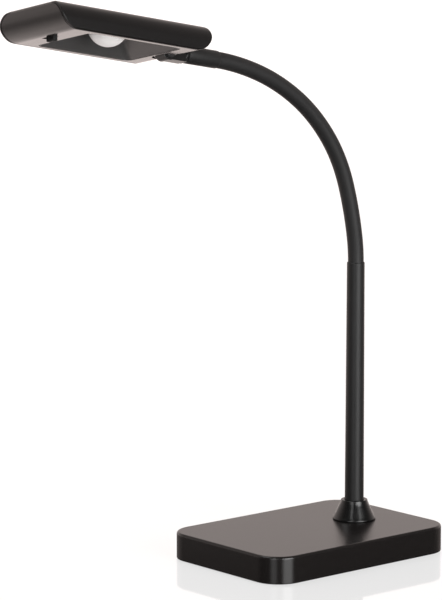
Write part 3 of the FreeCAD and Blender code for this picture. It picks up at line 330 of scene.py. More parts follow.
def add_bevel(thing, width, segments=3, angle=35.0):
    bevel = thing.modifiers.new("Edge rounding", "BEVEL")
    bevel.width = width
    bevel.segments = segments
    bevel.limit_method = "ANGLE"
    bevel.angle_limit = math.radians(angle)
    bevel.use_clamp_overlap = False
    bevel.miter_outer = "MITER_ARC"
    return bevel


def add_even_normals(thing):
    modifier = thing.modifiers.new("Even normals", "WEIGHTED_NORMAL")
    modifier.keep_sharp = True
    modifier.weight = 80
    return modifier


def cut(thing, cutters):
    """Cuts the cutters out of the piece and removes them."""
    for cutter in cutters:
        modifier = thing.modifiers.new("Cut", "BOOLEAN")
        modifier.operation = "DIFFERENCE"
        modifier.solver = "EXACT"
        modifier.object = cutter
    settle(thing)
    for cutter in cutters:
        mesh = cutter.data
        bpy.data.objects.remove(cutter)
        bpy.data.meshes.remove(mesh)
    return thing


def join(thing, other):
    """Makes the other body part of the piece."""
    union = thing.modifiers.new("Join", "BOOLEAN")
    union.operation = "UNION"
    union.solver = "EXACT"
    union.object = other
    settle(thing)
    mesh = other.data
    bpy.data.objects.remove(other)
    bpy.data.meshes.remove(mesh)
    return thing


def settle(thing):
    """Applies all the piece's modifiers to its mesh."""
    graph = bpy.context.evaluated_depsgraph_get()
    graph.update()
    mesh = bpy.data.meshes.new_from_object(thing.evaluated_get(graph))
    old = thing.data
    thing.modifiers.clear()
    thing.data = mesh
    mesh.name = thing.name
    bpy.data.meshes.remove(old)
    return thing


def prism(name, outline, low, high, placement=None):
    """An upright solid over a closed outline."""
    points, faces = ring_mesh([level_ring(outline, low), level_ring(outline, high)])
    return make_object(name, points, faces, placement)


def dress(thing, slot, body=None):
    """Gives a piece the slot's material, and lets it ride on its body."""
    thing.data.materials.clear()
    thing.data.materials.append(finish(slot))
    if body is not None:
        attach(thing, body)
    return thing


def fit(thing, slot, body, node):
    """Dresses a piece and puts it in the place of the frame's own node."""
    dress(thing, slot, body)
    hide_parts(node)


# Materials


def new_group(name, inputs, outputs):
    """An empty shader node group with its named sockets, and its two end nodes."""
    group = bpy.data.node_groups.new(name, "ShaderNodeTree")
    for label, kind, default in inputs:
        socket = group.interface.new_socket(name=label, in_out="INPUT", socket_type=kind)
        socket.default_value = default
    for label, kind in outputs:
        group.interface.new_socket(name=label, in_out="OUTPUT", socket_type=kind)
    return group, group.nodes.new("NodeGroupInput"), group.nodes.new("NodeGroupOutput")


def math_node(tree, operation, first, second):
    """A Math node; each of its two values is a socket or a number."""
    node = tree.nodes.new("ShaderNodeMath")
    node.operation = operation
    for socket, value in zip(node.inputs, (first, second)):
        if isinstance(value, (int, float)):
            socket.default_value = value
        else:
            tree.links.new(value, socket)
    return node.outputs[0]


def noise_node(tree, vector, scale, detail):
    node = tree.nodes.new("ShaderNodeTexNoise")
    tree.links.new(vector, node.inputs["Vector"])
    node.inputs["Detail"].default_value = detail
    if isinstance(scale, (int, float)):
        node.inputs["Scale"].default_value = scale
    else:
        tree.links.new(scale, node.inputs["Scale"])
    return node.outputs["Fac"]


def surface_grain():
    """Fine grain of a moulded, coated or cast surface: its roughness and its height."""
    name = "Surface grain"
    if name in bpy.data.node_groups:
        return bpy.data.node_groups[name]
    inputs = [
        ("Grain scale", "NodeSocketFloat", 900.0),
        ("Roughness", "NodeSocketFloat", 0.4),
        ("Roughness spread", "NodeSocketFloat", 0.08),
        ("Patch scale", "NodeSocketFloat", 30.0),
        ("Stretch", "NodeSocketVector", (1.0, 1.0, 1.0)),
    ]
    outputs = [(label, "NodeSocketFloat") for label in ("Roughness", "Height", "Patches")]
    group, start, end = new_group(name, inputs, outputs)
    place = group.nodes.new("ShaderNodeTexCoord").outputs["Object"]
    stretched = group.nodes.new("ShaderNodeVectorMath")
    stretched.operation = "MULTIPLY"
    group.links.new(place, stretched.inputs[0])
    group.links.new(start.outputs["Stretch"], stretched.inputs[1])
    fine = noise_node(group, stretched.outputs[0], start.outputs["Grain scale"], 3.0)
    patches = noise_node(group, place, start.outputs["Patch scale"], 2.0)
    both = math_node(group, "ADD", math_node(group, "MULTIPLY", fine, 0.6),
                     math_node(group, "MULTIPLY", patches, 0.4))
    swing = math_node(group, "SUBTRACT", both, 0.5)
    rough = math_node(group, "ADD", start.outputs["Roughness"],
                      math_node(group, "MULTIPLY", swing, start.outputs["Roughness spread"]))
    group.links.new(rough, end.inputs["Roughness"])
    group.links.new(fine, end.inputs["Height"])
    group.links.new(patches, end.inputs["Patches"])
    return group


def settled_dust():
    """Colour with a little pale dust, more of it on faces that look up."""
    name = "Settled dust"
    if name in bpy.data.node_groups:
        return bpy.data.node_groups[name]
    inputs = [
        ("Colour", "NodeSocketColor", (0.02, 0.02, 0.02, 1.0)),
        ("Dust colour", "NodeSocketColor", (0.35, 0.33, 0.31, 1.0)),
        ("Amount", "NodeSocketFloat", 0.02),
        ("Speck scale", "NodeSocketFloat", 260.0),
    ]
    group, start, end = new_group(name, inputs, [("Colour", "NodeSocketColor")])
    place = group.nodes.new("ShaderNodeTexCoord").outputs["Object"]
    facing = group.nodes.new("ShaderNodeSeparateXYZ")
    normal = group.nodes.new("ShaderNodeNewGeometry").outputs["Normal"]
    group.links.new(normal, facing.inputs[0])
    upward = math_node(group, "ADD", math_node(group, "MAXIMUM", facing.outputs["Z"], 0.0), 0.25)
    specks = noise_node(group, place, start.outputs["Speck scale"], 4.0)
    dusted = math_node(group, "MULTIPLY", specks, upward)
    amount = math_node(group, "MULTIPLY", dusted, start.outputs["Amount"])
    mix = group.nodes.new("ShaderNodeMix")
    mix.data_type = "RGBA"
    group.links.new(amount, mix.inputs["Factor"])
    group.links.new(start.outputs["Colour"], mix.inputs["A"])
    group.links.new(start.outputs["Dust colour"], mix.inputs["B"])
    group.links.new(mix.outputs["Result"], end.inputs["Colour"])
    return group


def place_group(tree, group, values):
    node = tree.nodes.new("ShaderNodeGroup")
    node.node_tree = group
    for label, value in values.items():
        node.inputs[label].default_value = value
    return node


def finish_of(colour, rough, spread, grain, depth, patch, dust=0.0, metal=0.0, coat=0.0,
              stretch=(1.0, 1.0, 1.0)):
    """A finish: colour, roughness and its spread, grain scale and depth, patch scale, dust and the rest."""
    return dict(colour=colour, rough=rough, spread=spread, grain=grain, depth=depth, patch=patch, dust=dust,
                metal=metal, coat=coat, stretch=stretch)


FINISHES = {
    "base_black": finish_of((0.0105, 0.0090, 0.0086), 0.25, 0.04, 2600.0, 0.02, 22.0, dust=0.012),
    "weight_iron": finish_of((0.09, 0.088, 0.085), 0.75, 0.2, 700.0, 0.25, 60.0, dust=0.1),
    "plate_black": finish_of((0.016, 0.016, 0.016), 0.5, 0.12, 1500.0, 0.12, 40.0, dust=0.02),
    "foot_rubber": finish_of((0.022, 0.022, 0.022), 0.82, 0.12, 1400.0, 0.15, 80.0, dust=0.08),
    "screw_steel": finish_of((0.26, 0.26, 0.265), 0.40, 0.15, 2500.0, 0.04, 200.0, metal=1.0,
                             stretch=(1.0, 1.0, 0.2)),
    "inlet_black": finish_of((0.010, 0.010, 0.010), 0.25, 0.08, 1800.0, 0.03, 60.0, dust=0.02),
    "lead_black": finish_of((0.016, 0.016, 0.016), 0.6, 0.1, 1600.0, 0.08, 90.0, dust=0.03),
    "collar_black": finish_of((0.005, 0.005, 0.005), 0.26, 0.05, 2200.0, 0.012, 60.0, dust=0.004),
    "tube_steel": finish_of((0.60, 0.60, 0.61), 0.35, 0.2, 1800.0, 0.05, 60.0, metal=1.0, stretch=(1.0,
                            1.0, 0.03)),
    "stem_black": finish_of((0.0090, 0.0088, 0.0090), 0.50, 0.05, 2400.0, 0.03, 30.0, dust=0.006),
    "neck_black": finish_of((0.0130, 0.0125, 0.0128), 0.56, 0.06, 2000.0, 0.05, 40.0, dust=0.01),
    "core_steel": finish_of((0.42, 0.42, 0.43), 0.42, 0.2, 900.0, 0.1, 120.0, metal=1.0),
    "ferrule_black": finish_of((0.012, 0.0118, 0.012), 0.50, 0.06, 2200.0, 0.04, 40.0, dust=0.008),
    "bush_brass": finish_of((0.72, 0.52, 0.22), 0.3, 0.12, 1500.0, 0.04, 90.0, metal=1.0),
    "clip_steel": finish_of((0.30, 0.30, 0.31), 0.36, 0.12, 1500.0, 0.05, 90.0, metal=1.0),
    "knuckle_black": finish_of((0.010, 0.010, 0.010), 0.28, 0.05, 1500.0, 0.06, 60.0, dust=0.008),
    "shell_black": finish_of((0.013, 0.0115, 0.0112), 0.22, 0.04, 2600.0, 0.03, 26.0, dust=0.006, coat=0.7),
    "cap_black": finish_of((0.0085, 0.0078, 0.0078), 0.30, 0.04, 2600.0, 0.02, 26.0, dust=0.006),
    "reflector_grey": finish_of((0.12, 0.117, 0.116), 0.33, 0.06, 1800.0, 0.03, 40.0, metal=0.6),
    "lens_white": finish_of((0.90, 0.875, 0.865), 0.30, 0.06, 1800.0, 0.03, 60.0),
    "spreader_aluminium": finish_of((0.80, 0.80, 0.81), 0.4, 0.2, 1200.0, 0.06, 60.0, metal=1.0,
                                    stretch=(1.0, 0.05, 1.0)),
    "board_white": finish_of((0.80, 0.80, 0.78), 0.45, 0.08, 1500.0, 0.03, 60.0),
    "emitter_yellow": finish_of((0.88, 0.66, 0.14), 0.35, 0.1, 2500.0, 0.05, 300.0),
    "board_green": finish_of((0.02, 0.16, 0.06), 0.4, 0.1, 1500.0, 0.04, 80.0),
    "switch_black": finish_of((0.0025, 0.0025, 0.0025), 0.55, 0.08, 1600.0, 0.06, 80.0, dust=0.004),
    "washer_nylon": finish_of((0.02, 0.02, 0.02), 0.5, 0.1, 1400.0, 0.05, 120.0),
}


def finish(slot):
    """The material of one of the record's slots, made when it is first asked for."""
    name = "finish_" + slot
    if name in bpy.data.materials:
        return bpy.data.materials[name]
    look = FINISHES[slot]
    material = bpy.data.materials.new(name)
    material.use_nodes = True
    tree = material.node_tree
    shader = tree.nodes["Principled BSDF"]
    grain = place_group(tree, surface_grain(), {
        "Grain scale": look["grain"],
        "Roughness": look["rough"],
        "Roughness spread": look["spread"],
        "Patch scale": look["patch"],
        "Stretch": look["stretch"],
    })
    dust = place_group(tree, settled_dust(), {
        "Colour": (*look["colour"], 1.0),
        "Amount": look["dust"],
    })
    if not look["dust"]:
        tint_with_patches(tree, dust, grain, look["colour"])
    bump = tree.nodes.new("ShaderNodeBump")
    bump.inputs["Strength"].default_value = look["depth"]
    bump.inputs["Distance"].default_value = 0.0002
    tree.links.new(grain.outputs["Height"], bump.inputs["Height"])
    tree.links.new(grain.outputs["Roughness"], shader.inputs["Roughness"])
    tree.links.new(dust.outputs["Colour"], shader.inputs["Base Color"])
    tree.links.new(bump.outputs["Normal"], shader.inputs["Normal"])
    shader.inputs["Metallic"].default_value = look["metal"]
    shader.inputs["Coat Weight"].default_value = look["coat"]
    shader.inputs["Coat Roughness"].default_value = look["rough"]
    return material


def tint_with_patches(tree, target, grain, colour):
    """A little tone variation from the grain's patches, where the finish has no dust."""
    ramp = tree.nodes.new("ShaderNodeMix")
    ramp.data_type = "RGBA"
    ramp.inputs["A"].default_value = (*[c * 0.9 for c in colour], 1.0)
    ramp.inputs["B"].default_value = (*[min(1.0, c * 1.1) for c in colour], 1.0)
    tree.links.new(grain.outputs["Patches"], ramp.inputs["Factor"])
    tree.links.new(ramp.outputs["Result"], target.inputs["Colour"])


# Shapes of the lamp's pieces

PAST = 2.0 * MM
PART_GAP = 0.3 * MM
SHEET_GAP = 0.1 * MM


def base_rings(sizes):
    """Rings of the base cover, from the inner ceiling round the lower edge to the top's middle."""
    half_x = sizes.width / 2
    half_y = sizes.length / 2

    def ring(inset, height):
        radius = max(sizes.corner - inset, 0.4 * MM)
        outline = rectangle_outline(half_x - inset, -half_y + inset, half_y - inset, radius, 14)
        return level_ring(outline, height)

    ceiling = sizes.top - sizes.roof
    middle = 24.0 * MM
    between = 12.0 * MM
    straight = 1.0 * MM
    rings = [ring(middle, ceiling), ring(between, ceiling), ring(sizes.wall, ceiling)]
    rings.append(ring(sizes.wall, sizes.bottom))
    foot = sizes.foot_edge
    for inset, height in arc_points((foot, sizes.bottom + foot), foot, 270, 180, 4):
        rings.append(ring(inset, height))
    edge = sizes.edge
    rings.append(ring(0.0, sizes.bottom + foot + straight))
    rings.append(ring(0.0, sizes.top - edge - straight))
    for inset, height in arc_points((edge, sizes.top - edge), edge, 180, 90, 8):
        rings.append(ring(inset, height))
    for inset in (between / 4, between / 2, between, middle):
        rings.append(ring(inset, sizes.top))
    return rings


def neck_stations(samples):
    """Points and directions along the neck's line, stretch after stretch."""
    stations = []
    direction = UP.copy()
    for i in range(len(NECK_POINTS) - 1):
        start = NECK_POINTS[i]
        chord = NECK_POINTS[i + 1] - start
        half = direction.angle(chord)
        turn = 2 * half
        radius = chord.length / (2 * math.sin(half))
        inward = Vector((0.0, -direction.z, direction.y))
        centre = start + inward * radius
        for j in range(samples + 1):
            angle = turn * j / samples
            spin = Quaternion(RIGHT, angle)
            stations.append((centre + spin @ (start - centre), spin @ direction))
        direction = Quaternion(RIGHT, turn) @ direction
    return stations


def neck_tube(name, stations, sizes):
    """A closed stretch of the neck's sleeve through the stations."""
    outer = []
    inner = []
    for point, direction in stations:
        side = direction.cross(RIGHT)
        for rings, radius in ((outer, sizes.radius), (inner, sizes.inside)):
            ring = []
            for j in range(sizes.around):
                angle = 2 * math.pi * j / sizes.around
                ring.append(point + RIGHT * (radius * math.cos(angle)) + side * (radius * math.sin(angle)))
            rings.append(ring)
    points, faces = ring_mesh(outer + inner[::-1], loop=True)
    return make_object(name, points, faces, smooth=50.0)


def head_outline(sizes, inset=0.0):
    """The head's side outline as (y, z) pairs, moved inwards by the inset."""
    front = sizes.front + inset
    rear = sizes.rear - inset
    low = sizes.underside + inset
    top = sizes.underside + sizes.thickness - inset
    large = sizes.low_round - inset
    small = sizes.top_round - inset
    corners = [(front, top), (front, low), (rear, low), (rear, top)]
    return fill_steps(rounded_outline(corners, [small, large, large, small], 24), 1.0 * MM)


def fill_steps(outline, step):
    """Adds points so that no two neighbours differ in height by more than the step."""
    filled = []
    for i, (y, z) in enumerate(outline):
        ahead_y, ahead_z = outline[(i + 1) % len(outline)]
        parts = max(1, math.ceil(abs(ahead_z - z) / step))
        for k in range(parts):
            filled.append((y + (ahead_y - y) * k / parts, z + (ahead_z - z) * k / parts))
    return filled


def side_place(sizes, height, inset):
    """How far out the head's side stands at a height, moved inwards by the inset."""
    half = sizes.width / 2
    rise = height - (sizes.underside + sizes.thickness - sizes.side_round)
    if rise > 0:
        side = sizes.side_round - inset
        return half - sizes.side_round + math.sqrt(max(side * side - rise * rise, 0.0))
    edge = sizes.edge_round - inset
    fall = sizes.underside + sizes.edge_round - height
    if fall > 0 and edge > 0:
        return half - sizes.edge_round + math.sqrt(max(edge * edge - fall * fall, 0.0))
    return half - inset


def end_inset(sizes, height):
    """How far the head's ends stand in from its front and rear at a height."""
    fall = sizes.underside + sizes.low_round - height
    rise = height - (sizes.underside + sizes.thickness - sizes.top_round)
    for step, radius in ((fall, sizes.low_round), (rise, sizes.top_round)):
        if step > 0:
            return radius - math.sqrt(max(radius * radius - step * step, 0.0))
    return 0.0


def make_shell(sizes, light):
    outer = head_outline(sizes)
    inner = head_outline(sizes, sizes.wall)
    rings = []
    for outline, side in ((outer, 1), (outer, -1), (inner, -1), (inner, 1)):
        rings.append([])
        for y, z in outline:
            rings[-1].append(Vector((side * (side_place(sizes, z, sizes.cap) - sizes.seam), y, z)))
    points, faces = ring_mesh(rings, loop=True)
    shell = make_object("head_shell_coated", points, faces)
    grow = light.sheet + SHEET_GAP
    below = sizes.underside - PAST
    above = sizes.underside + sizes.wall + PAST
    past_rear = 14.0 * MM
    slot_corner = 0.6 * MM
    edge = 0.25 * MM
    opening = prism("opening", rectangle_outline(light.half + grow, light.front - grow, light.rear + grow,
                                                 light.corner + grow), below, above)
    notch = prism("notch", rectangle_outline(sizes.notch_half, sizes.notch_front, sizes.rear + past_rear,
                                             sizes.notch_round, 16), below, sizes.notch_top)
    slot_half = light.knob_length / 2 + light.travel / 2 + PART_GAP
    slot_y = light.knob_width / 2 + PART_GAP
    slot = prism("slot", rectangle_outline(slot_half, light.switch_centre - slot_y,
                                           light.switch_centre + slot_y, slot_corner, 4), below, above)
    cut(shell, [opening, notch, slot])
    add_bevel(shell, edge, 2, 40.0)
    settle(shell)
    shade(shell.data, 30.0)
    shell.data.transform(HEAD_FRAME)
    add_even_normals(shell)
    return shell


def cap_heights(sizes):
    """Heights of an end cap's rows, close together where its outlines turn."""
    low = sizes.underside
    top = low + sizes.thickness
    arcs = [
        (low + sizes.edge_round, sizes.edge_round, 270, 8), (low + sizes.low_round, sizes.low_round, 270, 24),
        (top - sizes.side_round, sizes.side_round, 0, 28), (top - sizes.top_round, sizes.top_round, 0, 8),
    ]
    heights = []
    for centre, radius, start, steps in arcs:
        heights += [z for _, z in arc_points((0.0, centre), radius, start, start + 90, steps)]
    closest = 0.02 * MM
    rows = []
    for height in sorted(heights):
        if not rows or height - rows[-1] > closest:
            rows.append(height)
    rows[-1] = top
    return rows


def make_cap(sizes, side):
    """An end cap: a thin side with a rounded upper edge, from the underside to the top."""
    name = "end_cap_right_moulded" if side > 0 else "end_cap_left_moulded"
    columns = arc_points((sizes.cap_edge, sizes.cap_edge), sizes.cap_edge, 180, 270, 4)
    spans = 10
    rings = []
    for height in cap_heights(sizes):
        front = sizes.front + end_inset(sizes, height)
        rear = sizes.rear - end_inset(sizes, height)
        row = [(front + shift, inset) for shift, inset in columns]
        first = front + sizes.cap_edge
        last = rear - sizes.cap_edge
        row += [(first + (last - first) * k / spans, 0.0) for k in range(1, spans)]
        row += [(rear - shift, inset) for shift, inset in reversed(columns)]
        outer = [Vector((side * side_place(sizes, height, inset), y, height)) for y, inset in row]
        inner = [Vector((side * side_place(sizes, height, sizes.cap), y, height)) for y, _ in reversed(row)]
        rings.append(outer + inner)
    points, faces = ring_mesh(rings, False, False)
    cap = make_object(name, points, faces, HEAD_FRAME, 40.0)
    add_even_normals(cap)
    return cap


def make_reflector(sizes, light):
    """A thin tray with soft corners, from the opening's edge up to the floor round the dome."""
    rim = sizes.underside + light.rim
    steps = 12

    def ring(share, height, grow):
        across = light.half + (light.floor_half - light.half) * share + grow
        front = light.front + light.floor_inset * share - grow
        rear = light.rear - light.floor_inset * share + grow
        return level_ring(rectangle_outline(across, front, rear, light.corner + grow), height)

    inside = []
    outside = []
    for i in range(steps + 1):
        share = i / steps
        inside.append(ring(share, rim + (light.floor - rim) * share, 0.0))
        outside.append(ring(share, rim + (light.floor + light.sheet - rim) * share, light.sheet))
    hole = light.dome + PART_GAP
    brim = light.sheet + 1.3 * MM
    seat_gap = 0.02 * MM

    def hole_ring(height):
        points = []
        for point in inside[-1]:
            away = Vector((point.x, point.y - light.dome_centre, 0.0)).normalized()
            points.append(Vector((away.x * hole, light.dome_centre + away.y * hole, height)))
        return points

    seat = sizes.underside + sizes.wall + seat_gap
    flange = ring(0.0, seat, brim)
    flange_top = ring(0.0, seat + light.sheet, brim)
    root = ring((seat - rim) / (light.floor + light.sheet - rim), seat, light.sheet)
    higher = [run for run in outside if run[0].z > seat + light.sheet]
    rings = [hole_ring(light.floor)] + inside[::-1] + [outside[0], root, flange, flange_top] + higher
    rings.append(hole_ring(light.floor + light.sheet))
    points, faces = ring_mesh(rings, loop=True)
    tray = make_object("reflector_tray", points, faces, HEAD_FRAME, 50.0)
    add_even_normals(tray)
    return tray


def make_dome(sizes, light):
    """A hollow frosted dome with a thin flange behind the reflector."""
    radius = light.dome
    middle = sizes.underside + light.dome_sink + radius
    flange = light.floor + light.sheet + PART_GAP
    thick = 0.8 * MM
    wall = 1.4 * MM
    inner = radius - wall
    outer_end = math.degrees(math.asin((flange - middle) / radius))
    profile = arc_points((0.0, middle), radius, -89.0, outer_end, 40)
    profile += [(light.dome_flange, flange), (light.dome_flange, flange + thick)]
    inner_start = math.degrees(math.asin((flange + thick - middle) / inner))
    profile += arc_points((0.0, middle), inner, inner_start, -89.0, 30)
    placement = HEAD_FRAME @ Matrix.Translation((0.0, light.dome_centre, 0.0))
    points, faces = turned_mesh(profile, 96)
    return make_object("dome_frosted", points, faces, placement, 40.0)


def make_knob(sizes, light):
    """The thumb piece with grooves round its front, bottom and rear, and its stub in the switch body."""
    rest = light.travel / 2
    half = light.knob_length / 2
    low = sizes.underside - light.knob_proud
    top = sizes.underside + sizes.wall - 0.05 * MM
    grooves = 4
    pitch = light.knob_length / (grooves + 1)
    chamfer = 0.35 * MM
    groove = 0.5 * MM
    lip = 0.42 * MM
    bed = 0.3 * MM
    stations = [(-half, chamfer), (-half + chamfer, 0.0)]
    for i in range(grooves):
        x = -half + pitch * (i + 1)
        stations += [(x - lip, 0.0), (x - bed, groove), (x + bed, groove), (x + lip, 0.0)]
    stations += [(half - chamfer, 0.0), (half, chamfer)]
    rings = []
    for x, depth in stations:
        across = light.knob_width / 2 - depth
        foot = low + depth
        corners = [(-across, foot), (across, foot), (across, top), (-across, top)]
        outline = rounded_outline(corners, [0.6 * MM, 0.6 * MM, 0.05 * MM, 0.05 * MM], 6)
        rings.append([Vector((rest + x, light.switch_centre + y, z)) for y, z in outline])
    points, faces = ring_mesh(rings)
    knob = make_object("switch_knob_ribbed", points, faces, None, 30.0)
    stub_half = 1.0 * MM
    stub_outline = rectangle_outline(stub_half, light.switch_centre - stub_half,
                                     light.switch_centre + stub_half, 0.1 * MM, 2)
    stub = prism("stub", stub_outline, top - 0.5 * MM, top + 2.4 * MM, Matrix.Translation((rest, 0.0, 0.0)))
    join(knob, stub)
    shade(knob.data, 30.0)
    knob.data.transform(HEAD_FRAME)
    return knob


def make_knuckle(sizes):
    """Spigot, shoulder, tongue and hinge barrel in one casting, in the head's frame."""
    shoulder_rear = -sizes.ferrule_length - PART_GAP
    shoulder_front = shoulder_rear - sizes.shoulder_length
    half = sizes.tongue_width / 2
    tall = sizes.tongue_height / 2
    pin = -sizes.pin_distance
    meet = math.degrees(math.asin(tall / sizes.barrel))
    corner = arc_points((pin, 0.0), sizes.barrel, meet, 360.0 - meet, 40)
    sunk = 1.0 * MM
    clear = 0.2 * MM
    corner += [(shoulder_front - clear, -tall), (shoulder_front + sunk, -tall)]
    corner += [(shoulder_front + sunk, tall), (shoulder_front - clear, tall)]
    rings = [[Vector((x, y, z)) for y, z in corner] for x in (-half, half)]
    points, faces = ring_mesh(rings)
    tongue = make_object("knuckle_cast", points, faces)
    turn = Matrix.Rotation(math.radians(90), 4, "X")
    chamfer = 0.5 * MM
    tail = 2.3 * MM
    end = -(sizes.ferrule_length - 11.6 * MM) + tail
    profile = [
        (0.0, -end), (sizes.spigot, -end), (sizes.spigot, -shoulder_rear),
        (sizes.shoulder - chamfer, -shoulder_rear), (sizes.shoulder, -shoulder_rear + chamfer),
        (sizes.shoulder, -shoulder_front - chamfer), (sizes.shoulder - chamfer, -shoulder_front),
        (0.0, -shoulder_front),
    ]
    points, faces = turned_mesh([(max(r, 0.01 * MM), z) for r, z in profile], 64, False)
    collar = make_object("knuckle_collar", points, faces, turn)
    join(tongue, collar)
    turned, sides = turned_mesh([(sizes.pin_hole, -half - MM), (sizes.pin_hole, half + MM)], 40, False)
    bore = make_object("bore", turned, sides,
                       Matrix.Translation((0.0, pin, 0.0)) @ Matrix.Rotation(math.radians(90), 4, "Y"))
    exit_y = (shoulder_front + pin + sizes.barrel) / 2
    exit_radius = 1.8 * MM
    turned, sides = turned_mesh([(exit_radius, 0.0), (exit_radius, tall + MM)], 32, False)
    hole = make_object("lead_hole", turned, sides, Matrix.Translation((0.0, exit_y, 0.0)))
    cut(tongue, [bore, hole])
    add_bevel(tongue, 0.3 * MM, 2, 50.0)
    settle(tongue)
    shade(tongue.data, 35.0)
    tongue.data.transform(HEAD_FRAME)
    add_even_normals(tongue)
    return tongue


def make_ferrule(sizes):
    radius = sizes.ferrule
    length = sizes.ferrule_length
    edge = 0.6 * MM
    wide_bore = 4.8 * MM
    step = 17.0 * MM
    narrow_bore = 3.45 * MM
    profile = [(wide_bore, 0.0)]
    profile += arc_points((radius - edge, edge), edge, -90, 0, 5)
    profile += arc_points((radius - edge, length - edge), edge, 0, 90, 5)
    profile += [(narrow_bore, length), (narrow_bore, step), (wide_bore, step)]
    turn = NECK_END_FRAME @ Matrix.Rotation(math.radians(90), 4, "X")
    points, faces = turned_mesh(profile, 96)
    return make_object("ferrule_sleeve", points, faces, turn, 50.0)


def make_collar(sizes, bottom):
    foot = sizes.collar_foot
    top = bottom + sizes.collar_height
    rim = sizes.collar_top
    waist = foot - 0.55 * MM
    cone_low = bottom + 1.85 * MM
    shoulder = rim + 0.55 * MM
    ring_low = top - 2.3 * MM
    profile = [(sizes.bore, bottom), (foot - 0.5 * MM, bottom), (foot - 0.1 * MM, bottom + 0.25 * MM),
               (foot, bottom + 0.7 * MM), (foot - 0.1 * MM, bottom + 1.25 * MM),
               (waist, cone_low)]
    steps = 6
    for i in range(1, steps + 1):
        share = i / steps
        profile.append((waist + (shoulder - waist) * share, cone_low + (ring_low - cone_low) * share))
    profile += [(shoulder - 0.1 * MM, ring_low + 0.5 * MM), (rim + 0.1 * MM, top - 0.9 * MM)]
    edge = 0.5 * MM
    profile += arc_points((rim - edge, top - edge), edge, 0, 90, 5)
    profile += [(sizes.bore + edge, top), (sizes.bore, top - 0.4 * MM)]
    points, faces = turned_mesh(profile, 128)
    return make_object("collar_turned", points, faces, STEM_FRAME, 50.0)


def make_stem(sizes, bottom, collar_top, top):
    profile = [(sizes.inside, bottom), (sizes.foot, bottom), (sizes.foot, collar_top)]
    straight_top = top - 0.9 * MM
    steps = 10
    for i in range(1, steps + 1):
        share = i / steps
        height = collar_top + (straight_top - collar_top) * share
        profile.append((sizes.foot + (sizes.top - sizes.foot) * share, height))
    edge = 0.6 * MM
    profile += arc_points((sizes.top - edge, top - edge), edge, 0, 90, 5)
    profile += [(sizes.inside, top)]
    points, faces = turned_mesh(profile, 96)
    return make_object("stem_coated", points, faces, STEM_FRAME, 50.0)


# Operators


class PIANO_LAMP_OT_hidden_works(bpy.types.Operator):
    """Give the frame's own pieces, hidden works included, their finishes"""

    bl_idname = "piano_lamp.hidden_works"
    bl_label = "Frame finishes"

    def execute(self, context):
        for part in frame["record"]["subparts"]:
            thing = frame["nodes"][part["node"]]
            thing.data.materials.clear()
            thing.data.materials.append(finish(part["material_slot"]))
        return {"FINISHED"}


class PIANO_LAMP_OT_base(bpy.types.Operator):
    """Build the base cover with its rounded edges and the hole for the power inlet"""

    bl_idname = "piano_lamp.base"
    bl_label = "Base cover"

    def execute(self, context):
        sizes = context.scene.piano_lamp_base
        points, faces = ring_mesh(base_rings(sizes))
        cover = make_object("base_cover_moulded", points, faces)
        turned, sides = turned_mesh([(sizes.inlet_hole, 0.0), (sizes.inlet_hole, 6.0 * MM)], 48, False)
        back = sizes.length / 2
        place = Matrix.Translation((0.0, back + 2.0 * MM, sizes.inlet_height))
        hole = make_object("inlet_hole", turned, sides, place @ Matrix.Rotation(math.radians(90), 4, "X"))
        cut(cover, [hole])
        shade(cover.data, 35.0)
        add_even_normals(cover)
        fit(cover, "base_black", "base", "base_cover")
        return {"FINISHED"}


class PIANO_LAMP_OT_stem(bpy.types.Operator):
    """Build the turned collar and the tapered stem"""

    bl_idname = "piano_lamp.stem"
    bl_label = "Collar and stem"

    def execute(self, context):
        sizes = context.scene.piano_lamp_stem
        bottom = context.scene.piano_lamp_base.top
        collar = make_collar(sizes, bottom)
        fit(collar, "collar_black", "base", "stem_collar")
        stem = make_stem(sizes, bottom, bottom + sizes.collar_height, NECK_POINTS[0].z)
        fit(stem, "stem_black", "base", "stem_sleeve")
        return {"FINISHED"}


class PIANO_LAMP_OT_neck(bpy.types.Operator):
    """Build the neck's sleeve in curved stretches that meet halfway along each arc of the neck's line"""

    bl_idname = "piano_lamp.neck"
    bl_label = "Flexible neck"

    def execute(self, context):
        sizes = context.scene.piano_lamp_neck
        half = sizes.rings
        stations = neck_stations(2 * half)
        stride = 2 * half + 1
        stretches = len(NECK_POINTS) - 1
        first = neck_tube("neck_stretch_0", stations[:half + 1], sizes)
        dress(first, "neck_black", "neck_1")
        for i in range(1, stretches):
            before = (i - 1) * stride + half
            after = i * stride
            run = stations[before:i * stride] + stations[after + 1:after + half + 1]
            piece = neck_tube("neck_stretch_" + str(i), run, sizes)
            dress(piece, "neck_black")
            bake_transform(piece)
            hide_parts("neck_sleeve_" + str(i))
        end = str(stretches)
        last = neck_tube("neck_stretch_" + end, stations[(stretches - 1) * stride + half:], sizes)
        fit(last, "neck_black", "neck_" + end, "neck_sleeve_" + end)
        return {"FINISHED"}


class PIANO_LAMP_OT_joint(bpy.types.Operator):
    """Build the ferrule and the knuckle that carry the head"""

    bl_idname = "piano_lamp.joint"
    bl_label = "Ferrule and knuckle"

    def execute(self, context):
        sizes = context.scene.piano_lamp_joint
        ferrule = make_ferrule(sizes)
        fit(ferrule, "ferrule_black", "neck_6", "neck_ferrule")
        knuckle = make_knuckle(sizes)
        fit(knuckle, "knuckle_black", "knuckle", "knuckle")
        return {"FINISHED"}


class PIANO_LAMP_OT_head(bpy.types.Operator):
    """Build the head's shell and its two end caps"""

    bl_idname = "piano_lamp.head"
    bl_label = "Head shell and caps"

    def execute(self, context):
        sizes = context.scene.piano_lamp_head
        shell = make_shell(sizes, context.scene.piano_lamp_light)
        fit(shell, "shell_black", "head", "head_shell")
        for side, node in ((1, "end_cap_right"), (-1, "end_cap_left")):
            fit(make_cap(sizes, side), "cap_black", "head", node)
        return {"FINISHED"}


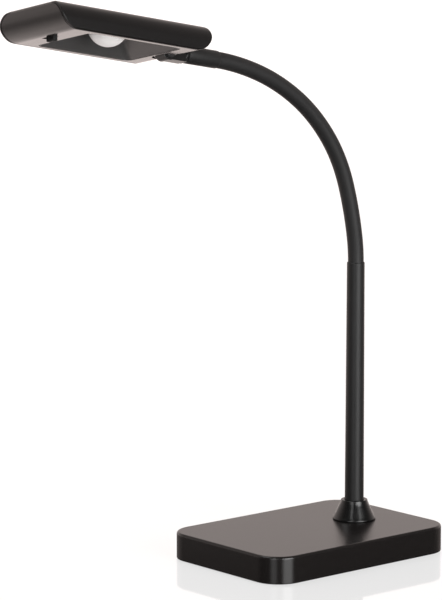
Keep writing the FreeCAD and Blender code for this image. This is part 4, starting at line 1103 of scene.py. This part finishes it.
class PIANO_LAMP_OT_light(bpy.types.Operator):
    """Build the reflector tray and the frosted dome"""

    bl_idname = "piano_lamp.light"
    bl_label = "Reflector and dome"

    def execute(self, context):
        head = context.scene.piano_lamp_head
        light = context.scene.piano_lamp_light
        tray = make_reflector(head, light)
        fit(tray, "reflector_grey", "head", "reflector")
        dome = make_dome(head, light)
        fit(dome, "lens_white", "head", "lens")
        return {"FINISHED"}


class PIANO_LAMP_OT_switch(bpy.types.Operator):
    """Build the ribbed knob of the slide switch"""

    bl_idname = "piano_lamp.switch"
    bl_label = "Slide switch"

    def execute(self, context):
        knob = make_knob(context.scene.piano_lamp_head, context.scene.piano_lamp_light)
        fit(knob, "switch_black", "switch", "switch_knob")
        return {"FINISHED"}


class PIANO_LAMP_OT_stage(bpy.types.Operator):
    """Set up the camera, the pale floor, the world and the soft lamps"""

    bl_idname = "piano_lamp.stage"
    bl_label = "Stage"

    def execute(self, context):
        levels = context.scene.piano_lamp_stage
        set_camera(context.scene)
        lay_floor(levels)
        set_world(context.scene, levels)
        hang_lamps(levels)
        context.scene.view_settings.view_transform = "Standard"
        return {"FINISHED"}


# The photograph's camera, in metres and millimetres of lens, as fitted to the base, the stem and the neck
CAMERA_LENS = 174.88
CAMERA_SENSOR = 36.0
CAMERA_PLACE = Vector((1.55234, -1.40887, 0.50355))
CAMERA_RIGHT = Vector((0.64872, 0.76103, 0.0))
CAMERA_BACK = Vector((0.75262, -0.64155, 0.14825))
CAMERA_REACH = (0.05, 50.0)

FLOOR_HALF = 12.0
FLOOR_ROUGHNESS = 0.05
FLOOR_CAMERA_CUT = 0.62

# Painted shade on the white glow that the floor shows in reflections, dimming it near the base, towards +X and
# towards -Y: direction or None for distance, reach, levels
FLOOR_PAINTED_SHADE_FADES = [
    ((-0.985, 0.17, 0.0), (-0.2, 0.2), (0.05, 1.0)),
    (None, (0.2, 0.45), (0.05, 1.0)),
    ((0.0, 1.0, 0.0), (-0.9, -0.1), (0.25, 1.0)),
]
SKY_SIDE = (-0.85, 0.53, 0.0)
SKY_SIDE_REACH = (-0.3, 0.7)
OVERHEAD_REACH = (0.35, 0.75)
OVERHEAD_LEVELS = (1.0, 0.3)


def set_camera(scene):
    camera = bpy.data.cameras.new("photo_camera")
    camera.lens = CAMERA_LENS
    camera.sensor_width = CAMERA_SENSOR
    camera.clip_start, camera.clip_end = CAMERA_REACH
    thing = bpy.data.objects.new("photo_camera", camera)
    thing.matrix_world = matrix_of(CAMERA_RIGHT, CAMERA_BACK.cross(CAMERA_RIGHT), CAMERA_BACK, CAMERA_PLACE)
    scene.collection.objects.link(thing)
    scene.camera = thing


def lay_floor(levels):
    """A wide glossy plane, white to the camera, that keeps the lamp's shadow and a faint mirror image; in
    reflections it glows with painted light, dimmed by painted shade near the base.
    """
    size = FLOOR_HALF
    corners = [(-size, -size, 0.0), (size, -size, 0.0), (size, size, 0.0), (-size, size, 0.0)]
    mesh = bpy.data.meshes.new("floor")
    mesh.from_pydata(corners, [], [(0, 1, 2, 3)])
    floor = bpy.data.objects.new("floor", mesh)
    bpy.context.scene.collection.objects.link(floor)
    material = bpy.data.materials.new("floor_white")
    material.use_nodes = True
    tree = material.node_tree
    shader = tree.nodes["Principled BSDF"]
    shader.inputs["Roughness"].default_value = FLOOR_ROUGHNESS
    path = tree.nodes.new("ShaderNodeLightPath")
    camera = path.outputs["Is Camera Ray"]
    sharp = math_node(tree, "MAXIMUM", path.outputs["Is Glossy Ray"], path.outputs["Is Transmission Ray"])
    shading = math_node(tree, "SUBTRACT", math_node(tree, "SUBTRACT", 1.0, sharp),
                        math_node(tree, "MULTIPLY", camera, FLOOR_CAMERA_CUT))
    colour = tree.nodes.new("ShaderNodeVectorMath")
    colour.operation = "SCALE"
    colour.inputs[0].default_value = tuple(levels.floor)
    tree.links.new(shading, colour.inputs["Scale"])
    tree.links.new(colour.outputs["Vector"], shader.inputs["Base Color"])
    place = tree.nodes.new("ShaderNodeTexCoord").outputs["Object"]
    # The floor's glow in reflections is painted light, and each fade darkens it with painted shade.
    white = 1.0
    for direction, reach, values in FLOOR_PAINTED_SHADE_FADES:
        white = math_node(tree, "MULTIPLY", white, ramp_along(tree, place, direction, reach, values))
    # Glow: even white to the camera, plus the painted light and shade that reflections see.
    glow = math_node(tree, "ADD", math_node(tree, "MULTIPLY", camera, levels.floor_glow),
                     math_node(tree, "MULTIPLY", sharp, white))
    tree.links.new(camera_white(tree, camera, levels.warm), shader.inputs["Emission Color"])
    tree.links.new(glow, shader.inputs["Emission Strength"])
    mesh.materials.append(material)


def camera_white(tree, camera, colour):
    """White to the camera, and the colour to every other ray."""
    blend = tree.nodes.new("ShaderNodeMix")
    blend.data_type = "RGBA"
    blend.inputs["A"].default_value = (*colour, 1.0)
    blend.inputs["B"].default_value = (1.0, 1.0, 1.0, 1.0)
    tree.links.new(camera, blend.inputs["Factor"])
    return blend.outputs["Result"]


def ramp_along(tree, place, direction, reach, values):
    """A level that changes along a direction, or with the distance where no direction is given."""
    measure = tree.nodes.new("ShaderNodeVectorMath")
    measure.operation = "DOT_PRODUCT" if direction else "LENGTH"
    tree.links.new(place, measure.inputs[0])
    if direction:
        measure.inputs[1].default_value = direction
    level = tree.nodes.new("ShaderNodeMapRange")
    level.interpolation_type = "SMOOTHSTEP"
    level.inputs["From Min"].default_value = reach[0]
    level.inputs["From Max"].default_value = reach[1]
    level.inputs["To Min"].default_value = values[0]
    level.inputs["To Max"].default_value = values[1]
    tree.links.new(measure.outputs["Value"], level.inputs["Value"])
    return level.outputs["Result"]


def set_world(scene, levels):
    """White to the camera; as light it is bright on the lamp's left and behind it, dim overhead."""
    world = bpy.data.worlds.new("studio")
    world.use_nodes = True
    tree = world.node_tree
    tree.nodes.clear()
    direction = tree.nodes.new("ShaderNodeTexCoord").outputs["Generated"]
    around = ramp_along(tree, direction, SKY_SIDE, SKY_SIDE_REACH, (levels.sky_front, levels.sky_back))
    overhead = ramp_along(tree, direction, tuple(UP), OVERHEAD_REACH, OVERHEAD_LEVELS)
    level = math_node(tree, "MULTIPLY", around, overhead)
    camera = tree.nodes.new("ShaderNodeLightPath").outputs["Is Camera Ray"]
    backdrop = tree.nodes.new("ShaderNodeBackground")
    tree.links.new(math_node(tree, "MAXIMUM", level, camera), backdrop.inputs["Strength"])
    tree.links.new(camera_white(tree, camera, levels.warm), backdrop.inputs["Color"])
    output = tree.nodes.new("ShaderNodeOutputWorld")
    tree.links.new(backdrop.outputs["Background"], output.inputs["Surface"])
    scene.world = world


def hang_lamps(levels):
    """Soft area lamps: place, aim, size and power."""
    lamps = [
        ("key_lamp", (-0.5, -0.6, 1.6), (0.0, 0.0, 0.15), (0.9, 0.9), levels.key),
        ("left_softbox", (0.84, -1.45, 0.42), (0.0, 0.0, 0.1), (0.66, 0.8), levels.left_box),
        ("right_softbox", (1.64, -0.12, 0.42), (0.0, -0.05, 0.1), (1.15, 0.8), levels.right_box),
        ("left_strip", (0.7, -1.15, 1.1), (0.0, 0.05, 0.03), (0.12, 0.6), levels.strips),
        ("right_strip", (1.35, -0.02, 1.1), (0.0, 0.05, 0.03), (0.16, 0.6), levels.strips),
    ]
    for name, place, aim, size, power in lamps:
        data = bpy.data.lights.new(name, "AREA")
        data.shape = "RECTANGLE"
        data.size, data.size_y = size
        data.energy = power
        thing = bpy.data.objects.new(name, data)
        bpy.context.scene.collection.objects.link(thing)
        thing.location = place
        thing.rotation_euler = (Vector(aim) - Vector(place)).to_track_quat("-Z", "Y").to_euler()


class PIANO_LAMP_PT_panel(bpy.types.Panel):
    """Sizes of the lamp and the steps that build it"""

    bl_idname = "PIANO_LAMP_PT_panel"
    bl_label = "Piano lamp"
    bl_space_type = "VIEW_3D"
    bl_region_type = "UI"
    bl_category = "Piano Lamp"

    def draw(self, context):
        for attribute, _, operators in SECTIONS:
            box = self.layout.box()
            settings = getattr(context.scene, attribute)
            for operator in operators:
                box.operator(operator.bl_idname)
            for name in settings.__annotations__:
                box.prop(settings, name)


SECTIONS = [
    ("piano_lamp_base", BaseSizes, [PIANO_LAMP_OT_hidden_works, PIANO_LAMP_OT_base]),
    ("piano_lamp_stem", StemSizes, [PIANO_LAMP_OT_stem]),
    ("piano_lamp_neck", NeckSizes, [PIANO_LAMP_OT_neck]),
    ("piano_lamp_joint", JointSizes, [PIANO_LAMP_OT_joint]),
    ("piano_lamp_head", HeadSizes, [PIANO_LAMP_OT_head]),
    ("piano_lamp_light", LightSizes, [PIANO_LAMP_OT_light, PIANO_LAMP_OT_switch]),
    ("piano_lamp_stage", StageLevels, [PIANO_LAMP_OT_stage]),
]


def register():
    for attribute, group, operators in SECTIONS:
        bpy.utils.register_class(group)
        setattr(bpy.types.Scene, attribute, PointerProperty(type=group))
        for operator in operators:
            bpy.utils.register_class(operator)
    bpy.utils.register_class(PIANO_LAMP_PT_panel)


def unregister():
    bpy.utils.unregister_class(PIANO_LAMP_PT_panel)
    for attribute, group, operators in reversed(SECTIONS):
        for operator in operators:
            bpy.utils.unregister_class(operator)
        delattr(bpy.types.Scene, attribute)
        bpy.utils.unregister_class(group)


def main():
    register()
    bpy.ops.piano_lamp.stage()
    for step in ("hidden_works", "base", "stem", "neck", "joint", "head", "light", "switch"):
        getattr(bpy.ops.piano_lamp, step)()


if __name__ == "__main__":
    main()
